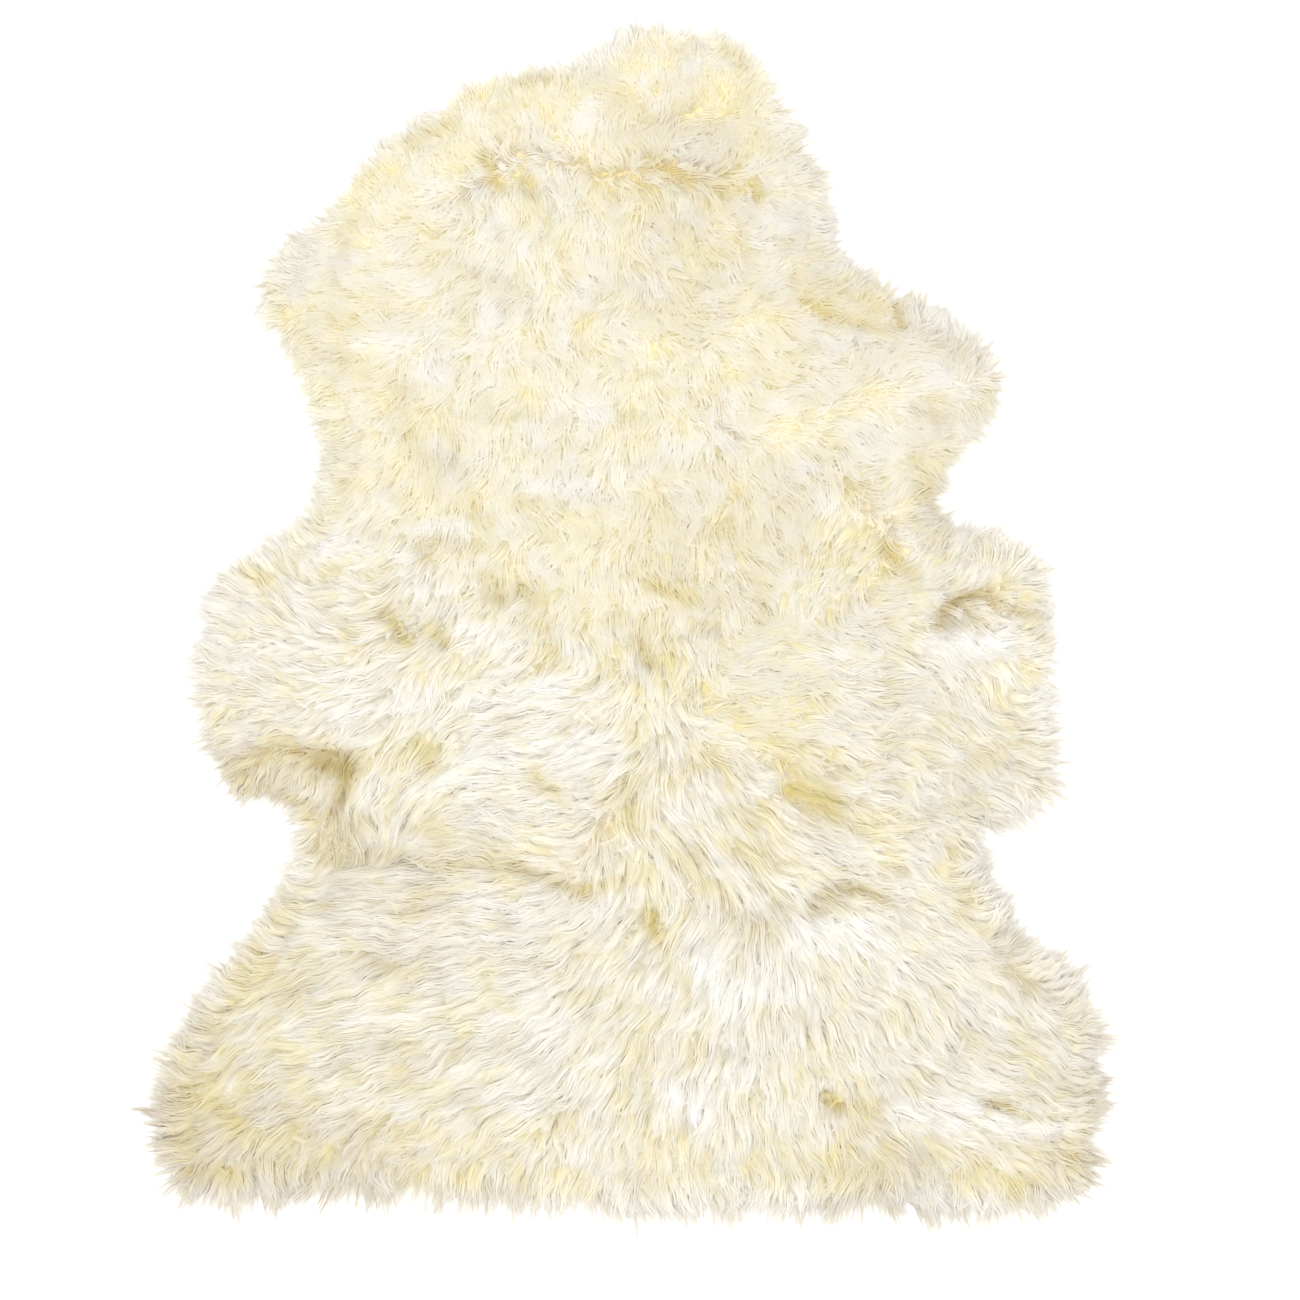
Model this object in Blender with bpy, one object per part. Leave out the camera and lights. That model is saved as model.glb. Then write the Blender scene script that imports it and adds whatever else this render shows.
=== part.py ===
"""Sheepskin rug: one natural long-wool pelt, lying flat.

Metres, +Z up. +Y runs from the rump to the neck, and the origin is under the middle of the rug, on
the surface that it lies on. The pelt is one solid. Its underside is flat, and its top is a lumpy
slab of wool that rolls down to a low rim. Tapering locks stand out from the rim all round, level
on the surface and apart but for their roots.
"""

import math
import random
from collections import namedtuple

import bmesh
import bpy
import numpy as np
from mathutils import Vector, geometry, noise

SEED = 11

# Rim and locks
LOCKS = 280               # locks round the rim
RIM_HEIGHT = 0.016        # height of the slab at the rim, where a lock leaves it
RIM_LEAN = 0.005          # how far the top of the rim stands back from its foot
ROLL = 0.060              # width of the rounded shoulder from the rim up to the full pile
ROLL_WAVE = 0.55          # how much that width varies, as a part of it
ROLL_WAVE_LENGTH = 0.045  # distance over which it varies
SHORTEST_LOCK = 0.68      # length of the shortest lock, as a part of the reach
LOCK_SWAY = 0.24          # how far a tip strays sideways, in spaces between locks
LOCK_BOW = 0.07           # sideways bow of a lock, in spaces between locks
SPAN_STEPS = 24           # points of the outline's curve between two turns
EVENING = 6               # rounds of averaging that keep neighbouring locks from crossing

# Top of the wool
GRID = 0.0160             # distance between the points of the top
GRID_JITTER = 0.16        # how far a point strays, in grid distances
RIM_CLEARANCE = 0.62      # least distance from a point to the rim, in grid distances
RIM_SAMPLES = 4 * LOCKS   # points of the rim that the distance is measured to
ROW_RATIO = math.sin(math.radians(60))  # row distance of a triangular grid
TUFT_GAP = 0.042          # distance between tufts
TUFT_STRAY = 0.42         # how far a tuft stands from its place, in gaps
TUFT_TURN = 0.45          # how far a tuft turns from the lay of the wool, in radians
TUFT_RISE = 0.0165        # height of the largest tuft
TUFT_LEAST = 0.35         # height of the smallest tuft, as a part of that
TUFT_HALF_WIDTH = 0.0145  # across the lay of the wool
TUFT_BEHIND = 0.034       # long slope of a tuft, on its root side
TUFT_AHEAD = 0.012        # short slope of a tuft, at its tip
SPINE_X = 0.022           # the parting runs along the back, a little right of the middle
SPREAD = 0.050            # how far from the spine the wool has turned fully sideways

TINY = 1e-7               # two points closer than this are one
SHARP_ANGLE = math.radians(60)
CREAM_WOOL = (0.88, 0.82, 0.65, 1.0)
WOOL_ROUGHNESS = 0.92

# Cross-sections of a rim lock from root to tip: place, width and height as parts of its whole ones.
Section = namedtuple("Section", "along width height")
LOCK_SECTIONS = (
    Section(0.36, 0.66, 0.70),
    Section(0.72, 0.38, 0.40),
)

# The reach of the wool, clockwise from the neck, and how long the rim's locks are there.
Turn = namedtuple("Turn", "x y lock")
OUTLINE = (
    # neck and nape
    Turn(-0.007, 0.554, 0.015),
    Turn(0.028, 0.558, 0.015),
    Turn(0.103, 0.543, 0.015),
    Turn(0.140, 0.495, 0.016),
    Turn(0.167, 0.443, 0.016),
    Turn(0.190, 0.397, 0.016),
    Turn(0.195, 0.350, 0.016),
    # right shoulder and waist
    Turn(0.248, 0.315, 0.018),
    Turn(0.311, 0.283, 0.018),
    Turn(0.342, 0.243, 0.020),
    Turn(0.347, 0.206, 0.020),
    Turn(0.317, 0.162, 0.018),
    Turn(0.291, 0.125, 0.016),
    Turn(0.289, 0.098, 0.014),
    # right flank
    Turn(0.327, 0.093, 0.016),
    Turn(0.368, 0.077, 0.018),
    Turn(0.392, 0.031, 0.020),
    Turn(0.394, -0.059, 0.022),
    Turn(0.405, -0.121, 0.030),
    Turn(0.396, -0.166, 0.028),
    Turn(0.354, -0.184, 0.024),
    Turn(0.324, -0.202, 0.020),
    # right haunch
    Turn(0.340, -0.236, 0.022),
    Turn(0.379, -0.284, 0.026),
    Turn(0.425, -0.321, 0.028),
    Turn(0.446, -0.362, 0.028),
    Turn(0.443, -0.427, 0.028),
    Turn(0.438, -0.491, 0.030),
    # rump end
    Turn(0.416, -0.535, 0.034),
    Turn(0.359, -0.556, 0.036),
    Turn(0.230, -0.552, 0.036),
    Turn(0.101, -0.554, 0.036),
    Turn(-0.009, -0.556, 0.036),
    Turn(-0.138, -0.543, 0.034),
    Turn(-0.267, -0.541, 0.034),
    Turn(-0.391, -0.543, 0.034),
    # left haunch
    Turn(-0.434, -0.519, 0.030),
    Turn(-0.448, -0.464, 0.028),
    Turn(-0.442, -0.405, 0.026),
    Turn(-0.403, -0.335, 0.024),
    Turn(-0.359, -0.278, 0.022),
    Turn(-0.326, -0.234, 0.020),
    # left flank
    Turn(-0.312, -0.188, 0.018),
    Turn(-0.326, -0.166, 0.018),
    Turn(-0.366, -0.160, 0.020),
    Turn(-0.391, -0.119, 0.022),
    Turn(-0.407, -0.068, 0.022),
    Turn(-0.403, -0.004, 0.020),
    Turn(-0.383, 0.047, 0.018),
    Turn(-0.339, 0.082, 0.016),
    # left waist and shoulder
    Turn(-0.304, 0.105, 0.016),
    Turn(-0.286, 0.151, 0.016),
    Turn(-0.301, 0.201, 0.016),
    Turn(-0.322, 0.252, 0.016),
    Turn(-0.347, 0.289, 0.018),
    Turn(-0.337, 0.340, 0.018),
    Turn(-0.287, 0.381, 0.016),
    Turn(-0.247, 0.432, 0.016),
    Turn(-0.193, 0.475, 0.016),
    Turn(-0.132, 0.510, 0.015),
    Turn(-0.064, 0.521, 0.015),
    Turn(-0.035, 0.534, 0.014),
)

# Along the back: how high the wool stands, and how much it lies towards the neck (+) or the rump (-).
Band = namedtuple("Band", "y pile lay")
BANDS = (
    Band(-0.56, 0.041, -1.80),
    Band(-0.50, 0.044, -0.60),
    Band(-0.30, 0.046, -0.35),
    Band(-0.05, 0.045, -0.18),
    Band(0.20, 0.041, 0.10),
    Band(0.40, 0.038, 0.60),
    Band(0.56, 0.034, 1.40),
)

# Folds and partings: both ends, sideways bow to the left of the run, half-width and depth.
Crease = namedtuple("Crease", "x0 y0 x1 y1 bow width depth")
CREASES = (
    Crease(-0.375, -0.128, -0.262, -0.128, -0.006, 0.014, 0.017),   # fold under the left flank
    Crease(-0.262, -0.128, -0.300, -0.172, 0.006, 0.015, 0.014),    # its run down to the notch
    Crease(-0.298, -0.212, -0.105, -0.218, 0.006, 0.011, 0.009),    # belly crease, left half
    Crease(-0.105, -0.218, 0.012, -0.230, -0.020, 0.011, 0.009),    # belly crease, right half
    Crease(0.163, -0.262, 0.220, -0.242, 0.014, 0.011, 0.015),      # slit on the right haunch
    Crease(0.286, 0.000, 0.336, 0.025, 0.013, 0.011, 0.015),        # slit on the right flank
    Crease(0.141, -0.145, 0.190, -0.166, 0.004, 0.014, 0.010),      # hollow behind the right flank
    Crease(0.022, -0.270, 0.028, -0.530, 0.000, 0.022, 0.006),      # parting along the rump
    Crease(-0.425, -0.430, -0.350, -0.510, 0.010, 0.020, 0.008),    # shade inside the left corner
    Crease(0.182, -0.432, 0.184, -0.433, 0.000, 0.013, 0.010),      # pit on the right haunch
    Crease(-0.122, 0.423, -0.091, 0.412, 0.003, 0.012, 0.009),      # pit on the left nape
    Crease(0.018, 0.421, 0.110, 0.401, 0.006, 0.012, 0.007),        # crease across the nape
    Crease(0.151, 0.293, 0.246, 0.283, -0.010, 0.014, 0.009),       # crease above the right shoulder
    Crease(-0.183, 0.075, -0.080, 0.110, 0.006, 0.014, 0.009),      # crease across the left waist
    Crease(-0.214, 0.008, -0.160, -0.006, 0.004, 0.013, 0.008),     # crease above the left flank
    Crease(-0.122, 0.038, -0.030, 0.026, 0.006, 0.013, 0.008),      # crease at the middle
    Crease(0.266, 0.142, 0.258, 0.104, 0.004, 0.014, 0.008),        # crease at the right waist
)


def smooth_loop(rows, steps):
    """A closed Catmull-Rom curve through the rows, with the given number of points in each span."""
    points = np.array(rows)
    before = np.roll(points, 1, axis=0)
    after = np.roll(points, -1, axis=0)
    beyond = np.roll(points, -2, axis=0)
    t = (np.arange(steps) / steps)[None, :, None]
    a, b, c, d = (p[:, None, :] for p in (before, points, after, beyond))
    curve = b + 0.5 * t * (c - a + t * (2 * a - 5 * b + 4 * c - d + t * (3 * (b - c) + d - a)))
    return curve.reshape(-1, points.shape[1])


def evenly_spaced(loop, count, shift=0.0):
    """Points at equal distances round a closed loop, moved along it by a share of that distance."""
    closed = np.vstack([loop, loop[:1]])
    run = np.concatenate([[0.0], np.cumsum(np.linalg.norm(np.diff(closed[:, :2], axis=0), axis=1))])
    wanted = ((np.arange(count) + shift) / count % 1.0) * run[-1]
    return np.stack([np.interp(wanted, run, column) for column in closed.T], axis=1)


def outward(loop, smoothing):
    """Unit vectors away from a clockwise loop, averaged over a few neighbours."""
    tangent = np.roll(loop[:, :2], -1, axis=0) - np.roll(loop[:, :2], 1, axis=0)
    normal = np.stack([-tangent[:, 1], tangent[:, 0]], axis=1)
    for _ in range(smoothing):
        normal = (np.roll(normal, 1, axis=0) + 2 * normal + np.roll(normal, -1, axis=0)) / 4
    return normal / np.linalg.norm(normal, axis=1)[:, None]


def lay(x, y):
    """The unit direction in which the wool lies at each point: away from the spine, and to the ends."""
    across = np.tanh((x - SPINE_X) / SPREAD)
    along = np.interp(y, [band.y for band in BANDS], [band.lay for band in BANDS])
    length = np.hypot(across, along) + TINY
    return across / length, along / length


def crease_depth(x, y):
    """How far the creases press the wool down: a soft trough round each bowed line."""
    depth = np.zeros_like(x)
    for crease in CREASES:
        run = Vector((crease.x1 - crease.x0, crease.y1 - crease.y0))
        length = run.length
        ahead = ((x - crease.x0) * run.x + (y - crease.y0) * run.y) / length
        side = ((y - crease.y0) * run.x - (x - crease.x0) * run.y) / length
        share = np.clip(ahead / length, 0.0, 1.0)
        past = ahead - share * length
        off = side - crease.bow * 4 * share * (1 - share)
        depth = np.maximum(depth, crease.depth * np.exp(-(off**2 + past**2) / crease.width**2))
    return depth


def tuft_height(x, y, rng):
    """The tufts: each rises slowly along the lay of the wool and drops off at its tip."""
    columns = 1 + int(2 * np.abs(x).max() / TUFT_GAP)
    rows = 1 + int(2 * np.abs(y).max() / TUFT_GAP)
    height = np.zeros_like(x)
    for row in range(rows):
        for column in range(columns):
            stagger = 0.5 * (row % 2)
            cx = (column + stagger - columns / 2 + rng.uniform(-TUFT_STRAY, TUFT_STRAY)) * TUFT_GAP
            cy = (row - rows / 2 + rng.uniform(-TUFT_STRAY, TUFT_STRAY)) * TUFT_GAP
            rise = TUFT_RISE * rng.uniform(TUFT_LEAST, 1.0)
            lay_x, lay_y = lay(cx, cy)
            heading = math.atan2(lay_y, lay_x) + rng.uniform(-TUFT_TURN, TUFT_TURN)
            ux = math.cos(heading)
            uy = math.sin(heading)
            ahead = (x - cx) * ux + (y - cy) * uy
            side = (y - cy) * ux - (x - cx) * uy
            slope = np.where(ahead > 0, TUFT_AHEAD, TUFT_BEHIND)
            bump = rise * np.exp(-((ahead / slope) ** 2) - (side / TUFT_HALF_WIDTH) ** 2)
            height = np.maximum(height, bump)
    return height


def top_height(x, y, inset, rng):
    """Height of the wool: pile, tufts and creases, rolled down to the rim in a quarter ellipse."""
    pile = np.interp(y, [band.y for band in BANDS], [band.pile for band in BANDS])
    full = pile + tuft_height(x, y, rng) - crease_depth(x, y)
    places = [Vector((px, py, 0.0)) / ROLL_WAVE_LENGTH for px, py in zip(x, y)]
    roll = ROLL * (1.0 + ROLL_WAVE * np.array([noise.noise(place) for place in places]))
    near = np.clip(1.0 - inset / roll, 0.0, 1.0)
    return RIM_HEIGHT + (full - RIM_HEIGHT) * np.sqrt(1.0 - near**2)


def top_points(rim, rng):
    """Points of the top inside the rim, on a loose triangular grid, and how far each is from the rim."""
    span = np.abs(rim).max(axis=0) + GRID
    rows = int(2 * span[1] / (GRID * ROW_RATIO))
    columns = int(2 * span[0] / GRID)
    column, row = np.meshgrid(np.arange(columns), np.arange(rows))
    x = (column + 0.5 * (row % 2)).ravel() * GRID - span[0]
    y = row.ravel() * GRID * ROW_RATIO - span[1]
    x = x + np.array([rng.uniform(-GRID_JITTER, GRID_JITTER) for _ in x]) * GRID
    y = y + np.array([rng.uniform(-GRID_JITTER, GRID_JITTER) for _ in y]) * GRID
    fine = evenly_spaced(rim, RIM_SAMPLES)
    inset = np.hypot(x[:, None] - fine[None, :, 0], y[:, None] - fine[None, :, 1]).min(axis=1)
    clear = inset > RIM_CLEARANCE * GRID
    return x[clear], y[clear], inset[clear]


def add_top(bm, rim_verts, rng):
    """The lumpy top, triangulated inside the ring of the rim's upper points."""
    rim = np.array([vert.co[:2] for vert in rim_verts])
    x, y, inset = top_points(rim, rng)
    z = top_height(x, y, inset, rng)
    count = len(rim)
    flat = [Vector(point) for point in rim] + [Vector(point) for point in zip(x, y)]
    ring = [list(range(count))[::-1]]
    _, _, faces, sources, _, _ = geometry.delaunay_2d_cdt(flat, [], ring, 1, TINY)
    inner = {}
    for face in faces:
        corners = []
        for corner in face:
            source = sources[corner][0]
            if source < count:
                corners.append(rim_verts[source])
                continue
            if source not in inner:
                k = source - count
                inner[source] = bm.verts.new((x[k], y[k], z[k]))
            corners.append(inner[source])
        bm.faces.new(corners)


def add_lock(bm, base, tip, bow):
    """A three-sided lock from a triangle of the rim to a tip on the surface. base is left, right, top."""
    left, right, top = (vert.co.copy() for vert in base)
    root = (left + right) / 2
    half = (right - left) / 2
    ring = base
    for section in LOCK_SECTIONS:
        swing = half * (2 * bow * math.sin(math.pi * section.along))
        middle = root.lerp(tip, section.along) + swing
        reach = half * section.width
        ridge = Vector((middle.x, middle.y, top.z * section.height))
        new = [bm.verts.new(p) for p in (middle - reach, middle + reach, ridge)]
        for k in range(3):
            n = (k + 1) % 3
            bm.faces.new((ring[k], ring[n], new[n], new[k]))
        ring = new
    point = bm.verts.new(tip)
    for k in range(3):
        bm.faces.new((ring[k], ring[(k + 1) % 3], point))


def add_rim(bm, rng):
    """The underside's edge, the wall above it and the locks on it. Returns the rings of both edges."""
    reach_curve = smooth_loop(OUTLINE, SPAN_STEPS)
    reach = evenly_spaced(reach_curve, LOCKS)
    away = outward(reach, EVENING)
    foot = reach[:, :2] - away * reach[:, 2:3]
    sway = 0.5 + np.array([rng.uniform(-LOCK_SWAY, LOCK_SWAY) for _ in range(LOCKS)])
    tips = evenly_spaced(reach_curve, LOCKS, sway)[:, :2]
    feet = [bm.verts.new((x, y, 0.0)) for x, y in foot]
    middle = (foot + np.roll(foot, -1, axis=0)) / 2
    back = away + np.roll(away, -1, axis=0)
    back = middle - RIM_LEAN * back / np.linalg.norm(back, axis=1)[:, None]
    heads = [bm.verts.new((x, y, RIM_HEIGHT)) for x, y in back]
    for k in range(LOCKS):
        n = (k + 1) % LOCKS
        bm.faces.new((feet[n], heads[k], heads[n]))
        share = rng.uniform(SHORTEST_LOCK, 1.0)
        end = middle[k] + share * (tips[k] - middle[k])
        bow = rng.uniform(-LOCK_BOW, LOCK_BOW)
        add_lock(bm, (feet[n], feet[k], heads[k]), Vector((end[0], end[1], 0.0)), bow)
    return feet, heads


def wool_material():
    """Matt cream wool."""
    material = bpy.data.materials.new("cream_wool")
    material.use_nodes = True
    shader = material.node_tree.nodes["Principled BSDF"]
    shader.inputs["Base Color"].default_value = CREAM_WOOL
    shader.inputs["Roughness"].default_value = WOOL_ROUGHNESS
    shader.inputs["Metallic"].default_value = 0.0
    return material


def add_sheepskin():
    """The whole pelt as one closed solid, with its box centred over the origin."""
    rng = random.Random(SEED)
    bm = bmesh.new()
    feet, heads = add_rim(bm, rng)
    add_top(bm, heads, rng)
    bm.faces.new(feet)
    corners = np.array([vert.co for vert in bm.verts])
    middle = (corners.min(axis=0) + corners.max(axis=0)) / 2
    bmesh.ops.translate(bm, vec=(-middle[0], -middle[1], 0.0), verts=bm.verts)
    bmesh.ops.triangulate(bm, faces=bm.faces)
    bmesh.ops.recalc_face_normals(bm, faces=bm.faces)
    mesh = bpy.data.meshes.new("sheepskin")
    bm.to_mesh(mesh)
    bm.free()
    mesh.shade_smooth()
    mesh.set_sharp_from_angle(angle=SHARP_ANGLE)
    mesh.materials.append(wool_material())
    pelt = bpy.data.objects.new("sheepskin", mesh)
    bpy.context.scene.collection.objects.link(pelt)


def clear_scene():
    """Remove what the scene starts with."""
    for obj in list(bpy.data.objects):
        bpy.data.objects.remove(obj, do_unlink=True)


clear_scene()
add_sheepskin()
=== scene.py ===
"""Looks of the sheepskin rug: the hide, the underwool on it and the combed locks of its long wool.

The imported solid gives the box, the height of the wool and its lumps. Everything here is worked out
from the outline of the pelt, a chart of how the wool is combed, and the sizes in each class.
Metres, +Z up, +Y towards the neck. The rug lies on the floor with its middle over the origin.
"""

import logging
import math
from dataclasses import dataclass, field
from enum import Enum
from typing import NamedTuple

import bpy
import numpy as np
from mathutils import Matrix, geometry


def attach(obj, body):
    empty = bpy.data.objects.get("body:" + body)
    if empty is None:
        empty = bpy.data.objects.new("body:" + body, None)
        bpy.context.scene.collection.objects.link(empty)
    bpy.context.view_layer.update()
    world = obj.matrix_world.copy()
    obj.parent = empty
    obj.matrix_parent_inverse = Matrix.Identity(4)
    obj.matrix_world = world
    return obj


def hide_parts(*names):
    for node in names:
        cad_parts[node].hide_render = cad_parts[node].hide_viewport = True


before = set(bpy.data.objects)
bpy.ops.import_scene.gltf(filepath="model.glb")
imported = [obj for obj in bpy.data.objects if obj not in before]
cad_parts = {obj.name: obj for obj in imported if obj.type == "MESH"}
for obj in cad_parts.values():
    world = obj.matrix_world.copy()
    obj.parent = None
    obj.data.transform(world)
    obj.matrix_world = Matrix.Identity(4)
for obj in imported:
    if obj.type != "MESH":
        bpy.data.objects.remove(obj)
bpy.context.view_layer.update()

LOG = logging.getLogger("sheepskin")
NODE = "sheepskin"
BODY = "root"

Array = np.ndarray
MM = 1000.0  # millimetres in a metre
SPAN = (1.0, 1.2)  # a piece of floor, across and along, that holds the whole pelt
TINY = 1e-9  # keeps a division from meeting 0
LOWEST = 0.0006  # no strand comes nearer to the floor
FIBRE_START = 900  # a strand's fibres begin anywhere in so many millimetres of the pattern


class Tone(Enum):
    """Tones of the wool in clean daylight: how yellow it is, and how much dust greys its tips.

    The two darkest, brown and shade, are not: they are painted shade, whose dust darkens folds, slits, pits
    and hollows.
    """

    CREAM = (0.52, 0.02)
    PALE = (0.16, 0.02)
    WHITE = (0.00, 0.00)
    ROSE = (0.08, 0.12)
    GREY = (0.05, 0.60)
    OAT = (0.45, 0.13)
    YELLOW = (1.00, 0.21)
    OLIVE = (1.00, 0.30)
    BEIGE = (0.35, 0.26)
    # painted shade for folds, slits, pits, hollows and shaded edges
    BROWN = (0.55, 0.55)
    SHADE = (0.90, 0.85)


CREAM, PALE, WHITE, ROSE, GREY, OAT, YELLOW, OLIVE, BEIGE, BROWN, SHADE = Tone


class Turn(NamedTuple):
    """A point of the wool's reach, and how far the rim's locks stand out there."""

    x: float
    y: float
    lock: float


class Comb(NamedTuple):
    """How the wool is combed at a place.

    The heading is in degrees (0 is +X, 90 is +Y). Then come the locks' length, wave and tone.
    """

    x: float
    y: float
    heading: float
    length: float
    wave: float
    tone: Tone


class Mark(NamedTuple):
    """A soft spot or streak: both ends, half-width, strength and tone.

    The parting says how far the wool opens there, from 0 to 1.
    """

    x0: float
    y0: float
    x1: float
    y1: float
    width: float
    strength: float
    tone: Tone
    parting: float = 0.0


# The reach of the wool, clockwise from the neck, in millimetres.
OUTLINE = tuple(Turn(*(size / MM for size in row)) for row in (
    # neck and nape
    (-7, 554, 15), (28, 558, 15), (103, 543, 15), (140, 495, 16), (167, 443, 16), (190, 397, 16),
    (195, 350, 16),
    # right shoulder and waist
    (248, 315, 18), (311, 283, 18), (342, 243, 20), (347, 206, 20), (317, 162, 18), (291, 125, 16),
    (289, 98, 14),
    # right flank
    (327, 93, 16), (368, 77, 18), (392, 31, 20), (394, -59, 22), (405, -121, 30), (396, -166, 28),
    (354, -184, 24), (324, -202, 20),
    # right haunch
    (340, -236, 22), (379, -284, 26), (425, -321, 28), (446, -362, 28), (443, -427, 28), (438, -491, 30),
    # rump end
    (416, -535, 34), (359, -556, 36), (230, -552, 36), (101, -554, 36), (-9, -556, 36), (-138, -543, 34),
    (-267, -541, 34), (-391, -543, 34),
    # left haunch
    (-434, -519, 30), (-448, -464, 28), (-442, -405, 26), (-403, -335, 24), (-359, -278, 22),
    (-326, -234, 20),
    # left flank
    (-312, -188, 18), (-326, -166, 18), (-366, -160, 20), (-391, -119, 22), (-407, -68, 22),
    (-403, -4, 20), (-383, 47, 18), (-339, 82, 16),
    # left waist and shoulder
    (-304, 105, 16), (-286, 151, 16), (-301, 201, 16), (-322, 252, 16), (-347, 289, 18), (-337, 340, 18),
    (-287, 381, 16), (-247, 432, 16), (-193, 475, 16), (-132, 510, 15), (-64, 521, 15), (-35, 534, 14),
))

# How the wool is combed, from the neck to the rump, with places and lengths in millimetres.
COMBING = tuple(Comb(x / MM, y / MM, heading, length / MM, *rest) for x, y, heading, length, *rest in (
    # neck and nape
    (-10, 520, 105, 26, 0.3, PALE), (45, 530, 90, 26, 0.3, PALE), (100, 520, 60, 26, 0.3, CREAM),
    (125, 465, 35, 28, 0.3, CREAM), (160, 400, 20, 30, 0.4, ROSE), (160, 345, 15, 30, 0.4, ROSE),
    (40, 450, 80, 26, 0.3, OAT), (50, 390, -60, 30, 0.4, OAT), (80, 330, -40, 28, 0.3, OAT),
    (-30, 460, 100, 26, 0.3, CREAM), (-90, 480, 115, 26, 0.3, CREAM), (-180, 440, 135, 26, 0.3, CREAM),
    (-100, 385, -95, 30, 0.4, PALE), (-40, 370, -90, 30, 0.4, CREAM),
    # left shoulder and waist
    (-235, 390, 150, 28, 0.3, CREAM), (-305, 335, 155, 30, 0.4, ROSE), (-300, 290, 190, 30, 0.3, CREAM),
    (-200, 310, 190, 28, 0.3, PALE), (-250, 230, 205, 30, 0.4, CREAM), (-120, 300, -110, 28, 0.3, PALE),
    (-60, 240, -90, 30, 0.3, CREAM), (-170, 160, -105, 34, 0.4, CREAM), (-260, 135, -140, 34, 0.5, CREAM),
    (-80, 110, -90, 32, 0.4, CREAM),
    # middle and right shoulder
    (20, 240, -80, 28, 0.3, CREAM), (110, 250, -30, 28, 0.3, CREAM), (180, 290, 10, 30, 0.3, OAT),
    (250, 270, 20, 32, 0.4, OAT), (310, 230, 5, 32, 0.4, ROSE), (270, 190, -10, 32, 0.4, PALE),
    (150, 190, -20, 30, 0.3, CREAM), (260, 130, 15, 34, 0.5, OAT), (30, 150, -90, 30, 0.4, CREAM),
    (120, 100, -60, 32, 0.4, OAT), (200, 70, -130, 36, 0.6, CREAM),
    # left flank
    (-320, 40, 135, 38, 0.7, WHITE), (-370, 0, 160, 40, 0.7, ROSE), (-280, -10, 165, 42, 0.7, WHITE),
    (-350, -70, 190, 44, 0.7, PALE), (-270, -80, 200, 44, 0.7, PALE), (-340, -125, 205, 42, 0.6, BEIGE),
    (-270, -175, -80, 44, 0.7, PALE), (-190, -20, -120, 40, 0.7, PALE),
    (-190, -110, -110, 44, 0.8, CREAM),
    # middle
    (-80, 30, -100, 34, 0.5, CREAM), (20, 30, -90, 34, 0.5, CREAM), (-110, -60, -160, 42, 0.8, WHITE),
    (-130, -130, 172, 46, 0.9, WHITE), (-40, -110, -170, 46, 0.9, WHITE),
    (-120, -190, 178, 48, 0.9, PALE), (20, -60, -90, 40, 0.6, CREAM), (110, -70, -5, 40, 0.5, CREAM),
    (40, -190, -60, 44, 0.8, PALE), (120, -200, -50, 44, 0.9, PALE),
    # right flank
    (300, 60, 60, 36, 0.5, PALE), (350, 40, 35, 38, 0.6, PALE), (230, 0, -10, 38, 0.5, PALE),
    (310, -20, -60, 40, 0.6, WHITE), (350, -80, -50, 46, 0.8, PALE), (250, -90, 0, 42, 0.6, ROSE),
    (380, -130, -20, 48, 0.7, PALE), (290, -160, -25, 44, 0.7, ROSE), (190, -160, -20, 42, 0.7, PALE),
    # right haunch
    (190, -230, -10, 44, 0.8, PALE), (290, -250, -15, 48, 0.8, WHITE), (190, -290, -60, 48, 0.9, WHITE),
    (300, -290, -28, 50, 0.9, WHITE), (110, -330, -95, 48, 0.9, WHITE), (60, -300, -125, 46, 0.8, PALE),
    (240, -370, -50, 50, 0.9, WHITE), (340, -350, -45, 52, 0.9, ROSE), (410, -370, -30, 50, 0.8, ROSE),
    (330, -455, -5, 48, 0.8, WHITE), (410, -450, -20, 48, 0.7, BEIGE),
    # rump end
    (150, -440, -85, 50, 0.9, PALE), (240, -490, -50, 44, 0.5, BEIGE), (420, -510, -45, 46, 0.6, BEIGE),
    (100, -505, -75, 42, 0.5, PALE), (340, -520, -70, 44, 0.5, OAT), (-20, -505, -100, 42, 0.5, PALE),
    (-150, -500, -122, 42, 0.5, OAT), (-280, -495, -132, 42, 0.5, BEIGE),
    (-400, -500, -140, 42, 0.5, BEIGE),
    # left haunch
    (0, -290, -118, 46, 0.8, WHITE), (0, -380, -118, 48, 0.9, PALE), (-10, -450, -110, 50, 0.9, PALE),
    (-110, -260, 185, 50, 0.9, PALE), (-230, -260, 180, 50, 0.9, ROSE), (-110, -350, 200, 50, 1, WHITE),
    (-250, -340, 195, 52, 1, PALE), (-120, -430, 205, 52, 1, WHITE), (-260, -420, 200, 52, 1, OAT),
    (-350, -310, 205, 50, 0.8, OAT), (-400, -390, 212, 50, 0.8, OAT), (-380, -460, 215, 50, 0.9, BEIGE),
))
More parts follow.
